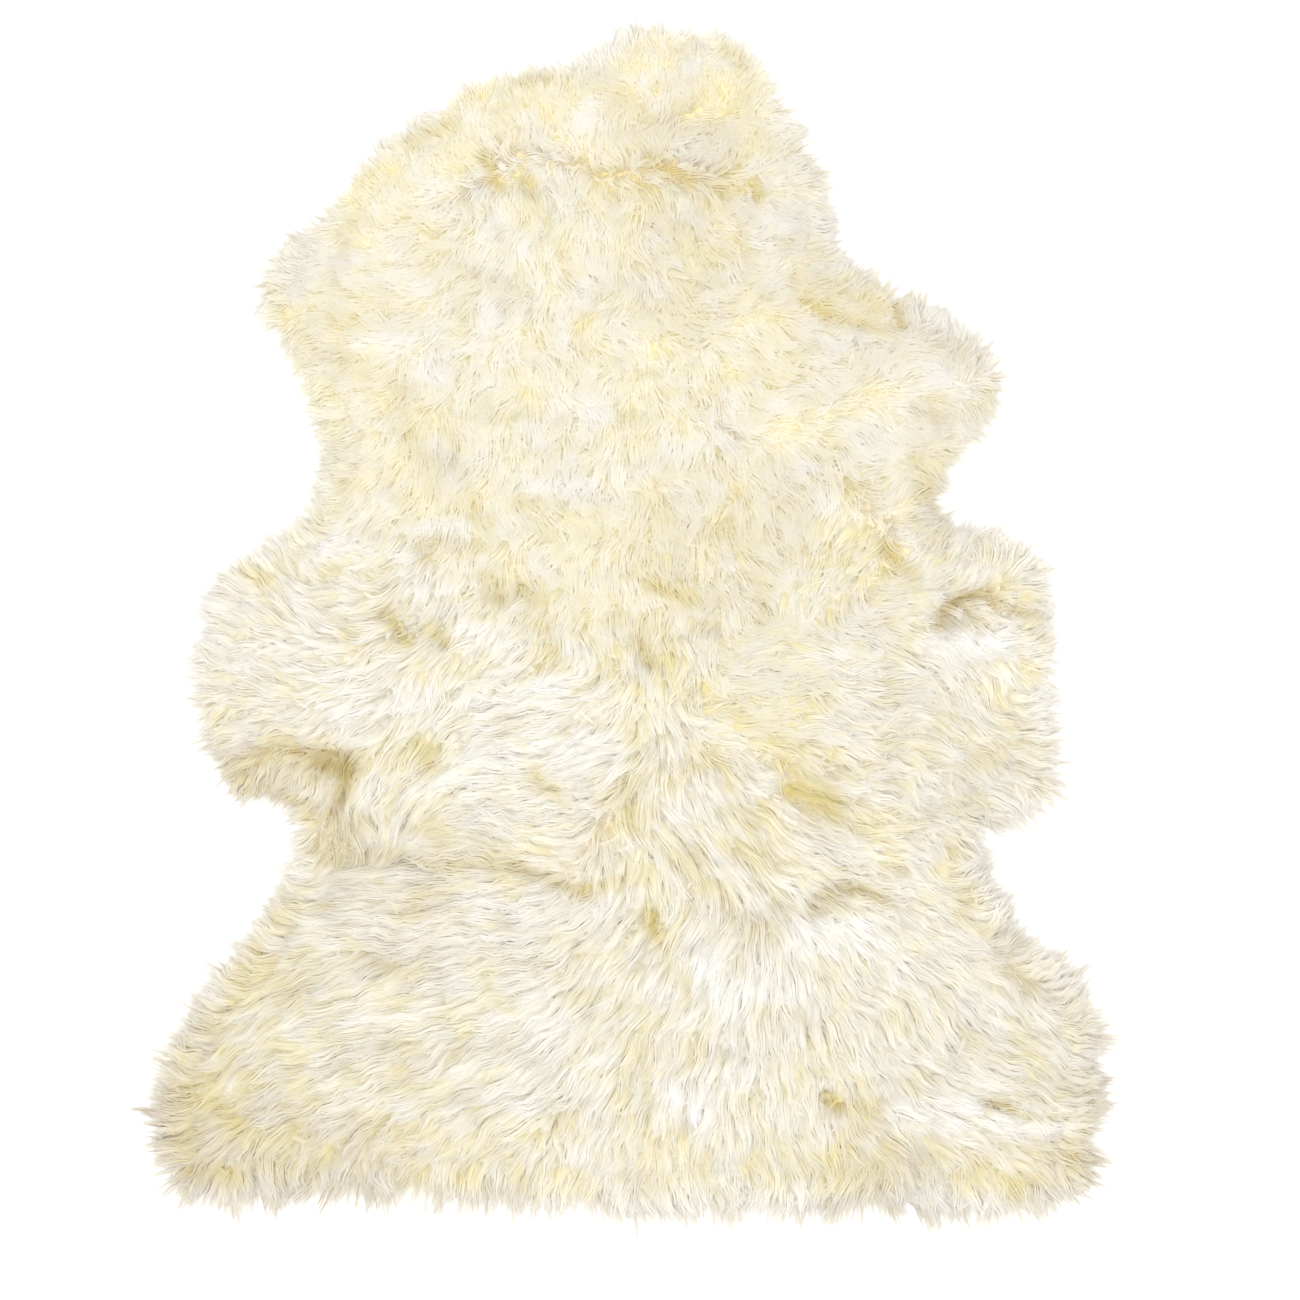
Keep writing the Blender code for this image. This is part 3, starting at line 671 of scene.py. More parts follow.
    def at(self, name: str, x: Array, y: Array) -> Array:
        """A field read between its grid points, weighted by nearness in X and in Y.

        Args:
            name: The field.
            x: Places along X.
            y: Places along Y.

        Returns:
            The field's value at each place.
        """
        values = self.fields[name]
        u = np.clip((x - self.left) / self.cell, 0, self.columns - 1.001)
        v = np.clip((y - self.bottom) / self.cell, 0, self.rows - 1.001)
        i = u.astype(int)
        j = v.astype(int)
        u = u - i
        v = v - j
        lower = values[j, i] * (1 - u) + values[j, i + 1] * u
        upper = values[j + 1, i] * (1 - u) + values[j + 1, i + 1] * u
        return lower * (1 - v) + upper * v


def new_mesh(name: str, points: Array, loops: Array, starts: Array) -> bpy.types.Mesh:
    """A mesh from whole arrays.

    Args:
        name: Its name.
        points: Vertices, one row each.
        loops: Vertex numbers of all faces in a row.
        starts: Where each face begins in loops.

    Returns:
        The mesh, shaded smooth.
    """
    mesh = bpy.data.meshes.new(name)
    mesh.vertices.add(len(points))
    mesh.vertices.foreach_set("co", points.astype(np.float32).ravel())
    mesh.loops.add(len(loops))
    mesh.loops.foreach_set("vertex_index", loops.astype(np.int32))
    mesh.polygons.add(len(starts))
    mesh.polygons.foreach_set("loop_start", starts.astype(np.int32))
    mesh.update(calc_edges=True)
    mesh.polygons.foreach_set("use_smooth", np.ones(len(starts), bool))
    return mesh


def vertices_of(mesh: bpy.types.Mesh) -> Array:
    """Places of a mesh's vertices, one row each."""
    flat = np.zeros(3 * len(mesh.vertices), np.float32)
    mesh.vertices.foreach_get("co", flat)
    return flat.reshape(-1, 3)


def dress(mesh: bpy.types.Mesh, along: Array, shade: Array, warmth: Array, dust_and_shade: Array) -> None:
    """Stores what the wool's finish reads at each vertex.

    Args:
        mesh: The mesh to dress.
        along: Place along the strand, 0 at its root and 1 at its tip.
        shade: How much darker it is: painted shade on lock sides and roots, with some random tone.
        warmth: How yellow it is.
        dust_and_shade: How much dust lies on it, with painted shade in folds, partings, gaps and bared
            roots.
    """
    set_floats(mesh, "along", np.clip(along, 0, 1))
    set_floats(mesh, "shade", shade)
    set_floats(mesh, "warmth", np.clip(warmth, 0, 1))
    set_floats(mesh, "dust_and_shade", np.clip(dust_and_shade, 0, 1))


def set_floats(mesh: bpy.types.Mesh, name: str, values: Array) -> None:
    """Stores one number at each vertex under a name that the materials read."""
    layer = mesh.attributes.new(name, "FLOAT", "POINT")
    layer.data.foreach_set("value", values.astype(np.float32).ravel())


def add_object(name: str, data: bpy.types.ID) -> bpy.types.Object:
    """A new object in the scene, at the origin."""
    thing = bpy.data.objects.new(name, data)
    bpy.context.scene.collection.objects.link(thing)
    return thing


def place(mesh: bpy.types.Mesh, material: bpy.types.Material, slot: str) -> bpy.types.Object:
    """Puts a mesh into the scene as a piece of the rug.

    Args:
        mesh: The piece's mesh, in place.
        material: Its finish.
        slot: The record's material slot. Not used.

    Returns:
        The new object, riding on the rug and standing for its solid.
    """
    mesh.materials.append(material)
    piece = add_object(mesh.name, mesh)
    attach(piece, BODY)
    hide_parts(NODE)
    LOG.info("%s: %d vertices, %d faces", piece.name, len(mesh.vertices), len(mesh.polygons))
    return piece


@dataclass
class Nodes:
    """A new material and its node tree, with short ways to add nodes."""

    name: str
    material: bpy.types.Material = field(init=False)
    tree: bpy.types.NodeTree = field(init=False)

    def __post_init__(self) -> None:
        """Makes the material, which begins with a Principled shader and its output."""
        self.material = bpy.data.materials.new(self.name)
        self.material.use_nodes = True
        self.tree = self.material.node_tree

    def fill(self, node: bpy.types.Node, inputs: dict[str | int, object]) -> bpy.types.Node:
        """Links a socket, or sets a constant, at some of a node's inputs.

        Args:
            node: The node.
            inputs: Sockets and constants, by the name or number of the input.

        Returns:
            The node.
        """
        for name, value in inputs.items():
            if isinstance(value, bpy.types.NodeSocket):
                self.tree.links.new(value, node.inputs[name])
            else:
                node.inputs[name].default_value = value
        return node

    def add(self, kind: str, inputs: dict[str | int, object], **settings: str | bool) -> bpy.types.Node:
        """A new node.

        Args:
            kind: Its type, without ShaderNode.
            inputs: Sockets and constants, by the name or number of the input.
            settings: Its own settings, by name.

        Returns:
            The node.
        """
        node = self.tree.nodes.new("ShaderNode" + kind)
        for name, value in settings.items():
            setattr(node, name, value)
        return self.fill(node, inputs)

    def stored(self, name: str) -> bpy.types.NodeSocket:
        """The number stored under a name at each vertex."""
        return self.add("Attribute", {}, attribute_name=name).outputs["Fac"]

    def mix(self, factor: bpy.types.NodeSocket, *colours: object) -> bpy.types.NodeSocket:
        """Two colours, each a socket or a constant, mixed by a factor."""
        first, second = (c if isinstance(c, bpy.types.NodeSocket) else (*c, 1.0) for c in colours)
        return self.add("Mix", {0: factor, 6: first, 7: second}, data_type="RGBA").outputs[2]


@dataclass(frozen=True)
class WoolFinish:
    """Matt wool: yellowed roots, clean tips, dust that also carries painted shade, and fine fibres with a
    painted shade in their gaps.

    Each tone is mixed between a clean one and a yellowed one. Some light passes through.
    """

    name: str = "wool"
    root: tuple[float, float, float] = (0.90, 0.81, 0.36)
    clean_root: tuple[float, float, float] = (0.92, 0.885, 0.755)
    tip: tuple[float, float, float] = (0.97, 0.957, 0.865)
    clean_tip: tuple[float, float, float] = (0.97, 0.965, 0.955)
    # colours of dust, yellowed and clean, which are also the colours of painted shade
    dust_and_shade: tuple[float, float, float] = (0.60, 0.47, 0.18)
    clean_dust: tuple[float, float, float] = (0.55, 0.48, 0.37)
    roughness: float = 0.85
    sheen: float = 0.25
    glow: float = 0.50
    # the colour of the painted shade between locks and fibres
    gap: tuple[float, float, float] = (0.62, 0.56, 0.45)
    streak: float = 0.2
    fibre: tuple[float, float, float] = (1.2, 0.05, 1.0)

    def build(self) -> bpy.types.Material:
        """The finish as a node material.

        It reads what is stored at the vertices, and a map in millimetres across and along each
        strand: a noise that is long on that map gives light and dark fibres.
        """
        nodes = Nodes(self.name)
        nodes.tree.nodes.clear()
        warmth = nodes.stored("warmth")
        root = nodes.mix(warmth, self.clean_root, self.root)
        tip = nodes.mix(warmth, self.clean_tip, self.tip)
        colour = nodes.mix(nodes.stored("along"), root, tip)
        colour = nodes.mix(nodes.stored("dust_and_shade"), colour, nodes.mix(warmth, self.clean_dust, self.dust_and_shade))
        chart = nodes.add("UVMap", {}, uv_map="fibre")
        stretch = nodes.add("VectorMath", {0: chart.outputs["UV"], 1: self.fibre}, operation="MULTIPLY")
        noise = nodes.add("TexNoise", {"Vector": stretch.outputs[0], "Scale": 1.0, "Detail": 1.0})
        centred = nodes.add("Math", {0: noise.outputs["Fac"], 1: 0.5}, operation="SUBTRACT")
        shade = nodes.add(
            "Math", {0: centred.outputs[0], 1: self.streak, 2: nodes.stored("shade")},
            operation="MULTIPLY_ADD", use_clamp=True)
        # painted shade: lock sides, roots and fibre gaps are mixed towards the gap colour
        colour = nodes.mix(shade.outputs[0], colour, self.gap)
        shader = nodes.add("BsdfPrincipled", {
            "Base Color": colour, "Roughness": self.roughness, "Specular IOR Level": self.sheen})
        glow = nodes.add("BsdfTranslucent", {"Color": colour})
        blend = nodes.add("MixShader", {0: self.glow, 1: shader.outputs[0], 2: glow.outputs[0]})
        nodes.add("OutputMaterial", {"Surface": blend.outputs[0]})
        return nodes.material


@dataclass(frozen=True)
class HideFinish:
    """The flesh side of the skin: tan suede with soft blotches and a fine nap."""

    name: str = "hide"
    colour: tuple[float, float, float] = (0.66, 0.50, 0.34)
    pale: tuple[float, float, float] = (0.78, 0.64, 0.47)
    roughness: float = 0.95
    blotches: float = 9.0
    blotch_detail: float = 6.0
    from_to: tuple[float, float] = (0.35, 0.7)
    nap: float = 700.0
    nap_strength: float = 0.3
    nap_depth: float = 0.0005

    def build(self) -> bpy.types.Material:
        """The finish as a node material on Object coordinates."""
        nodes = Nodes(self.name)
        spot = nodes.add("TexCoord", {}).outputs["Object"]
        noise = nodes.add("TexNoise", {"Vector": spot, "Scale": self.blotches, "Detail": self.blotch_detail})
        ramp = nodes.add("ValToRGB", {"Fac": noise.outputs["Fac"]})
        for stop, position, colour in zip(ramp.color_ramp.elements, self.from_to, (self.colour, self.pale)):
            stop.position = position
            stop.color = (*colour, 1.0)
        nap = nodes.add("TexNoise", {"Vector": spot, "Scale": self.nap})
        bump = nodes.add("Bump", {
            "Strength": self.nap_strength, "Distance": self.nap_depth, "Height": nap.outputs["Fac"]})
        nodes.fill(nodes.tree.nodes["Principled BSDF"], {
            "Base Color": ramp.outputs["Color"], "Roughness": self.roughness,
            "Normal": bump.outputs["Normal"]})
        return nodes.material


@dataclass
class Slab:
    """A closed flat body over the pelt's foot: its top and its underside are functions of place."""

    outline: Outline
    wool_map: WoolMap
    name: str = "slab"
    spacing: float = 0.02
    edge_in: float = 0.0
    clearance: float = 0.6
    ring_step: float = 0.0065

    def top(self, x: Array, y: Array) -> Array:
        """Height of the top at each place."""
        raise NotImplementedError

    def floor(self, x: Array, y: Array) -> Array:
        """Height of the underside at each place."""
        raise NotImplementedError

    def plan(self) -> tuple[Array, Array, int]:
        """Points of the body seen from above and the triangles between them.

        Returns:
            The points with the ring of the edge first, the triangles facing up, and the ring's count.
        """
        every = max(1, round(self.spacing / self.ring_step))
        ring = (self.outline.foot - self.outline.away * self.edge_in)[::every]
        x, y = triangular_grid(self.spacing)
        keep = self.wool_map.at("inset", x, y) > self.clearance * self.spacing + self.edge_in
        flat = np.vstack([ring, np.stack([x[keep], y[keep]], axis=1)])
        count = len(ring)
        loop = [list(range(count))[::-1]]
        _, _, faces, sources, _, _ = geometry.delaunay_2d_cdt(flat.tolist(), [], loop, 1, 1e-7)
        order = np.array([source[0] for source in sources])
        triangles = order[np.array(faces)]
        return flat, triangles, count

    def mesh(self) -> bpy.types.Mesh:
        """The closed body: top, underside with the same points turned over, and a wall round the edge."""
        flat, triangles, count = self.plan()
        x, y = flat.T
        total = len(flat)
        points = np.vstack([
            np.column_stack([flat, self.top(x, y)]),
            np.column_stack([flat, self.floor(x, y)]),
        ])
        this = np.arange(count)
        following = np.roll(this, -1)
        wall = np.column_stack([this, following, following + total, this + total])
        loops = np.concatenate([triangles.ravel(), (triangles[:, ::-1] + total).ravel(), wall.ravel()])
        sides = np.concatenate([np.full(2 * len(triangles), 3), np.full(count, 4)])
        starts = np.concatenate([[0], np.cumsum(sides)[:-1]])
        return new_mesh(self.name, points, loops, starts)


@dataclass
class Hide(Slab):
    """The tanned skin under the wool: 2 mm of suede, flat on the floor."""

    name: str = "hide"
    edge_in: float = 0.003
    thickness: float = 0.002

    def top(self, x: Array, y: Array) -> Array:
        """The skin's upper side."""
        return np.full_like(x, self.thickness)

    def floor(self, x: Array, y: Array) -> Array:
        """The skin's flesh side, on the floor."""
        return np.zeros_like(x)

    def build(self, finish: HideFinish) -> bpy.types.Object:
        """Makes the piece."""
        return place(self.mesh(), finish.build(), "hide")


@dataclass
class Underwool(Slab):
    """The dense short wool on the skin that closes the gaps between the long locks."""

    name: str = "underwool"
    spacing: float = 0.0110
    edge_in: float = 0.004
    share: float = 0.86
    looser: float = 0.04
    opened: float = 0.08
    lump: float = 0.02
    lump_length: float = 0.022
    tone: float = 0.2
    yellower: float = 0.05
    # painted shade: the underwool shows only between locks, in partings and where the comb spreads, and is
    # darkened there
    gap_shade: float = 0.14
    dust_share: float = 0.5
    parting_shade: float = 0.2
    bared_shade: float = 0.6
    base: float = 0.0022
    thinnest: float = 0.002

    def top(self, x: Array, y: Array) -> Array:
        """A share of the wool's height, with small lumps: less in loose wool and where it parts."""
        wool = self.wool_map
        lumps = 1 + self.lump * Drift(31, self.lump_length).at(x, y)
        share = self.share - self.looser * wool.at("wave", x, y) - self.opened * wool.at("parting", x, y)
        return np.maximum(wool.at("height", x, y) * share * lumps, self.base + self.thinnest)

    def floor(self, x: Array, y: Array) -> Array:
        """Just above the skin."""
        return np.full_like(x, self.base)

    def build(self, material: bpy.types.Material) -> bpy.types.Object:
        """Makes the piece, with the tones of the wool's roots and painted shade where it shows between the
        locks.
        """
        mesh = self.mesh()
        x, y, _ = vertices_of(mesh).T
        wool = self.wool_map
        deep = wool.at("parting", x, y)
        warmth = (wool.at("warmth", x, y) + self.yellower) * (1 - deep) + wool.at("deep warmth", x, y)
        dust_and_shade = wool.at("dust_and_shade", x, y) * self.dust_share + self.gap_shade + self.parting_shade * deep
        dust_and_shade = dust_and_shade + wool.at("deep dust_and_shade", x, y) + self.bared_shade * wool.at("spread", x, y)
        dress(mesh, self.tone * (1 - deep), np.zeros_like(x), warmth, dust_and_shade)
        return place(mesh, material, "wool")


@dataclass(frozen=True)
class Hold:
    """What the tuft round each lock does to it.

    It has a middle, and a turn, reach, tone and lift of its own from -1 to 1.
    """

    x: Array
    y: Array
    turn: Array
    reach: Array
    tone: Array
    lift: Array


@dataclass(frozen=True)
class Tufts:
    """Loose groups of locks that cling together: one point in each square of a grid, off its middle."""

    spacing: float
    seed: int
    squares: int = 128
    stray: float = 0.42

    def find(self, x: Array, y: Array) -> Hold:
        """The nearest tuft to each place, out of the nine squares round it.

        Each square has six chances: two for where its tuft's middle lies, and four for its hold.

        Args:
            x: Places along X.
            y: Places along Y.

        Returns:
            The hold of the nearest tuft on each place.
        """
        chance = np.random.default_rng(self.seed).uniform(-1, 1, (6, self.squares, self.squares))
        column = np.floor(x / self.spacing).astype(int)
        row = np.floor(y / self.spacing).astype(int)
        best = np.full(x.shape, np.inf)
        found = np.zeros((8, *x.shape))
        for i in (-1, 0, 1):
            for j in (-1, 0, 1):
                own = chance[:, (row + j) % self.squares, (column + i) % self.squares]
                middle_x = (column + i + 0.5 + self.stray * own[0]) * self.spacing
                middle_y = (row + j + 0.5 + self.stray * own[1]) * self.spacing
                apart = (x - middle_x) ** 2 + (y - middle_y) ** 2
                closer = apart < best
                best = np.where(closer, apart, best)
                found = np.where(closer, np.stack([middle_x, middle_y, *own]), found)
        return Hold(found[0], found[1], *found[4:8])


@dataclass(frozen=True)
class Chance:
    """How far chance goes in locks and strands: a lowest and a highest value, or a spread."""

    wave: float = 0.06
    length: tuple[float, float] = (0.85, 1.15)
    curl: float = 20.0
    trim: float = 0.12
    into_parting: tuple[float, float] = (0.3, 0.8)
    reach: tuple[float, float] = (0.82, 1.0)
    place: float = 0.3
    lock_phase: float = 0.5
    strand_phase: float = 0.2
    swing: tuple[float, float] = (0.6, 1.3)
    lift: float = 0.7
    droop: tuple[float, float] = (-0.3, 1.0)
    floor_gap: tuple[float, float] = (0.7, 1.6)
    breadth: tuple[float, float] = (0.75, 1.2)
    lock_tone: float = 0.04
    strand_tone: float = 0.02
    lock_dust: tuple[float, float] = (0.5, 1.2)
    strand_dust: tuple[float, float] = (0.7, 1.3)
    shade: float = 0.10


@dataclass
class Locks:
    """The locks of one piece: roots, tufts, how wavy and long they are, and their runs seen from above."""

    x: Array
    y: Array
    hold: Hold
    wave: Array
    length: Array
    run_x: Array = field(init=False)
    run_y: Array = field(init=False)


@dataclass
class Strands:
    """The strands of one piece, a row for each: the lock it is in, its place there, and its run.

    The place t along each strand is 0 at its root and 1 at its tip. The place aside is -1 at the left
    edge of its lock and 1 at the right edge. The reach is the share of its lock's run that it covers.
    """

    locks: Locks
    lock: Array
    t: Array
    reach: Array
    aside: Array
    x: Array
    y: Array
    ahead_x: Array
    ahead_y: Array

    def each(self, values: Array) -> Array:
        """A value of each lock, given to its strands as a column."""
        return values[self.lock][:, None]


@dataclass
class Fleece:
    """One kind of lock: a few flat strands side by side in an arch.

    They follow the comb and end in a point. Lengths are in metres and angles in degrees. The
    wander and the waver are slow turns of the comb: how far, and over what length.
    """

    outline: Outline
    wool_map: WoolMap
    bands: dict[str, tuple[float, float]]
    tufts: Tufts
    seed: int
    strands: int
    breadth: float
    overlap: float
    cling: float
    shag: float
    # where the locks stand
    spacing: float = 0.0080
    stray: float = 0.45
    root_inset: float = 0.001
    wave_from: float = -1.0
    wave_to: float = 2.0
    # how they run over the pelt
    steps: int = 5
    longer: float = 1.0
    tuft_length: float = 0.10
    tuft_turn: float = 12.0
    tousle: float = 8.0
    wild: float = 1.0
    calm_from: float = 1.35
    calmed: float = 1.1
    calmest: float = 0.25
    wander: tuple[float, float] = (26.0, 0.070)
    waver: tuple[float, float] = (14.0, 0.026)
    lean_out: float = 1.2
    lean_power: float = 0.2
    into_parting: float = 0.6
    least_run: float = 0.2
    # how their strands lie in them
    gather: float = 0.35
    gather_power: float = 1.3
    stouter: float = 0.22
    stouter_length: float = 0.045
    taper_power: float = 2.5
    slim_ends: float = 0.25
    crimp: float = 0.0016
    crimp_length: float = 0.018
    crimp_rise: float = 0.2
    crimp_start: float = 3.0
    arch: float = 20.0
    arch_flattens: float = 0.5
    loft: float = 0.0014
    roll: float = 4.0
    fray: float = 0.0010
    fray_power: float = 1.5
    fluff: float = 0.0003
    # how high they lie
    start: float = 0.84
    peak: float = 0.45
    lie: float = 1.0
    droop: float = 0.06
    droop_power: float = 1.5
    fall: float = 0.60
    fall_power: float = 1.4
    floor_gap: float = 0.0012
    # how they end at the rim
    rim_reach: float = 0.007
    rim_share: float = 0.20
    ragged: float = 0.75
    shortest: float = 0.35
    # their tones, with painted shade and painted highlight
    tuft_tone: float = 0.20
    root_tone: float = 0.1
    root_power: int = 4
    # painted shade: on the side strands of each lock, on the roots of wavy locks, and, through the dust, on
    # roots bared where the comb spreads
    side_shade: float = 0.11
    root_shade: float = 0.12
    bared_shade: float = 0.3
    parted: tuple[float, float] = (1.15, 0.75)
    mottle: float = 1.0
    # painted highlight on white swells: whiter tips and less painted shade
    puff_highlight: float = 0.5
    puff_shade: float = 0.6
    rim_tone: float = 0.4
    rim_width: float = 0.012
    whiter: float = 0.0
    # dust added to every strand: on the rim wisps it is partly dusty tips and partly painted shade
    grey: float = 0.0
    chance: Chance = Chance()
    rng: np.random.Generator = field(init=False)

    def __post_init__(self) -> None:
        """Sets its own source of chance."""
        self.rng = np.random.default_rng(self.seed)

    def roots(self) -> tuple[Array, Array]:
        """Where the locks leave the skin: a loose triangular grid inside the foot."""
        x, y = triangular_grid(self.spacing)
        x = x + self.rng.uniform(-self.stray, self.stray, len(x)) * self.spacing
        y = y + self.rng.uniform(-self.stray, self.stray, len(y)) * self.spacing
        wave = self.wool_map.at("wave", x, y) + self.rng.normal(0, self.chance.wave, len(x))
        keep = (wave >= self.wave_from) & (wave < self.wave_to)
        keep &= self.wool_map.at("inset", x, y) > self.root_inset
        return x[keep], y[keep]

    def build(self, material: bpy.types.Material) -> list[bpy.types.Object]:
        """Makes the fleece in bands from the neck to the rump."""
        x, y = self.roots()
        made = []
        for name, (low, high) in self.bands.items():
            here = (y > low) & (y <= high)
            made.append(self.band(name, x[here], y[here], material))
        return made

    def band(self, name: str, x: Array, y: Array, material: bpy.types.Material) -> bpy.types.Object:
        """One piece of the fleece.

        Args:
            name: The piece's name.
            x: Roots of its locks along X.
            y: Roots of its locks along Y.
            material: The wool's finish.

        Returns:
            The piece.
        """
        hold = self.tufts.find(x, y)
        length = self.longer * self.wool_map.at("length", x, y) * (1 + self.tuft_length * hold.reach)
        length = length * self.rng.uniform(*self.chance.length, len(x))
        locks = Locks(x, y, hold, self.wool_map.at("wave", x, y), length)
        self.lay(locks)
        strands = self.split(locks, self.shares(locks))
        rise = self.lay_aside(strands)
        height = self.heights(strands, rise)
        mesh = self.strips(name, strands, height)
        self.tint(mesh, strands)
        return place(mesh, material, "wool")

    def lay(self, locks: Locks) -> None:
        """Gives the locks their runs over the pelt: each step follows the comb at its place.

        A lock also leans to the middle line of its tuft, the more the nearer its tip. Wavy locks
        are less wild than the others.

        Args:
            locks: The locks, which get their runs.
        """
        wool, x, y, hold = self.wool_map, locks.x, locks.y, locks.hold
        wild = self.wild * np.clip(self.calm_from - self.calmed * locks.wave, self.calmest, 1.0)
        wobble = self.wander[0] * Drift(7, self.wander[1]).at(x, y)
        wobble = wobble + self.waver[0] * Drift(8, self.waver[1]).at(x, y) + self.tuft_turn * hold.turn
        own = np.radians(wild * (wobble + self.rng.normal(0.0, self.tousle, len(x))))
        curl = wild * self.rng.normal(0.0, math.radians(self.chance.curl), len(x))
        run_x = [x]
        run_y = [y]
        step = locks.length / self.steps
        lean = None
        for k in range(self.steps):
            head_x = wool.at("head_x", run_x[-1], run_y[-1])
            head_y = wool.at("head_y", run_x[-1], run_y[-1])
            angle = np.arctan2(head_y, head_x) + own + curl * (k / self.steps - 0.5)
            if lean is None:
                aside = (hold.x - x) * np.sin(angle) - (hold.y - y) * np.cos(angle)
                lean = self.cling * aside / self.steps * self.lean_out
            pull = lean * ((k + 0.5) / self.steps) ** self.lean_power
            run_x.append(run_x[-1] + step * np.cos(angle) + pull * np.sin(angle))
            run_y.append(run_y[-1] + step * np.sin(angle) - pull * np.cos(angle))
        locks.run_x = np.stack(run_x, axis=1)
        locks.run_y = np.stack(run_y, axis=1)

    def shares(self, locks: Locks) -> Array:
        """How much of its run each lock keeps, so that it ends at the rim or at a parting.

        Args:
            locks: The locks, with their runs.

        Returns:
            A share for each lock. At the rim it is 1 - (reach past the foot - allowed reach) / length.
        """
        tip_x, tip_y = locks.run_x[:, -1], locks.run_y[:, -1]
        out = -self.wool_map.at("inset", tip_x, tip_y)
        own = 1 + self.ragged * locks.hold.reach + self.rng.normal(0, self.chance.trim, len(out))
        allowed = self.rim_reach + self.rim_share * self.wool_map.at("lock", tip_x, tip_y)
        share = np.clip(1 - (out - allowed * np.clip(own, 0, 2)) / locks.length, self.shortest, 1.0)
        return np.minimum(share, self.free_run(locks))

    def free_run(self, locks: Locks) -> Array:
        """The share of each lock's run before it comes to a parting of the wool: 1 where it meets none."""
        limit = self.rng.uniform(*self.chance.into_parting, (len(locks.x), 1))
        parted = self.wool_map.at("parting", locks.run_x, locks.run_y) > limit
        enters = parted[:, 1:] & ~parted[:, :-1]
        first = np.where(enters.any(axis=1), enters.argmax(axis=1) + self.into_parting, self.steps)
        return np.maximum(first / self.steps, self.least_run)

    def split(self, locks: Locks, share: Array) -> Strands:
        """Divides each lock into its strands, with points evenly along the part of the run that it keeps.

        Args:
            locks: The locks, with their runs.
            share: The share of its run that each lock keeps.

        Returns:
            The strands, all on the middle line of their lock.
        """
        count = len(share) * self.strands
        lock = np.repeat(np.arange(len(share)), self.strands)
        reach = (share[lock] * self.rng.uniform(*self.chance.reach, count))[:, None]
        t = np.linspace(0.0, 1.0, self.steps + 1)[None, :]
        spot = reach * t * self.steps
        low = np.minimum(spot.astype(int), self.steps - 1)
        part = spot - low
        row = lock[:, None]
        x, y = (run[row, low] * (1 - part) + run[row, low + 1] * part for run in (locks.run_x, locks.run_y))
        ahead = unit(np.gradient(x, axis=1), np.gradient(y, axis=1))
        rank = np.tile(np.arange(self.strands), len(share))
        own = self.rng.uniform(-self.chance.place, self.chance.place, count)
        aside = ((rank + 0.5 + own) / self.strands * 2 - 1)[:, None]
        return Strands(locks, lock, t, reach, aside, x, y, *ahead)

    def lay_aside(self, strands: Strands) -> Array:
        """Moves the strands to their places across the lock, in crimped waves.

        Args:
            strands: The strands, which are moved.

        Returns:
            How far each point rises by the lock's arch, its fluff and its crimp.
        """
        rng, t, wave = self.rng, strands.t, strands.locks.wave
        count = len(strands.lock)
        close = 1 - (1 - self.gather) * t**self.gather_power
        phase = 2 * math.pi / self.crimp_length * self.wool_map.at("run", strands.x, strands.y)
        own = strands.each(rng.normal(0, self.chance.lock_phase, len(wave)))
        phase = phase + (own + rng.normal(0, self.chance.strand_phase, count)[:, None])
        swing = self.crimp * strands.each(wave) * strands.each(rng.uniform(*self.chance.swing, len(wave)))
        swing = swing * np.minimum(1.0, self.crimp_start * t)
        side = self.breadth / 2 * strands.aside * close + swing * np.sin(phase)
        side = side + self.fray * rng.normal(0, 1, count)[:, None] * t**self.fray_power
        rise = self.loft * (1 - strands.aside**2) + self.fluff * rng.normal(0, 1, count)[:, None]
        strands.x = strands.x + strands.ahead_y * side
        strands.y = strands.y - strands.ahead_x * side
        return rise + self.crimp_rise * swing * np.cos(phase)

    def heights(self, strands: Strands, rise: Array) -> Array:
        """Height of each point: up from the root to the peak, and down a little to the tip.

        Args:
            strands: The strands, in their places seen from above.
            rise: What the lock's form adds.

        Returns:
            The wool's height x (up - down) + rise, and never less than the gap over the floor. Past
            the rim a strand hangs from the height at its root.
        """
        at, t, locks, chance = self.wool_map.at, strands.t, strands.locks, self.chance
        lift = chance.lift * locks.hold.lift + self.rng.normal(0, chance.lift, len(locks.x))
        top = self.lie + strands.each(self.shag * lift)
        droop = self.droop * strands.each(self.rng.uniform(*chance.droop, len(locks.x)))
        up = self.start + (top - self.start) * (1 - (1 - np.minimum(t / self.peak, 1.0)) ** 2)
        down = droop * np.clip((t - self.peak) / (1 - self.peak), 0.0, 1.0) ** self.droop_power
        hang = 1 - self.fall * (t * strands.reach) ** self.fall_power
        hang = strands.each(at("height", locks.x, locks.y)) * hang
        height = np.maximum(at("height", strands.x, strands.y), hang) * (up - down) + rise
        lowest = self.floor_gap * self.rng.uniform(*chance.floor_gap, len(strands.lock))
        return np.maximum(height, lowest[:, None])

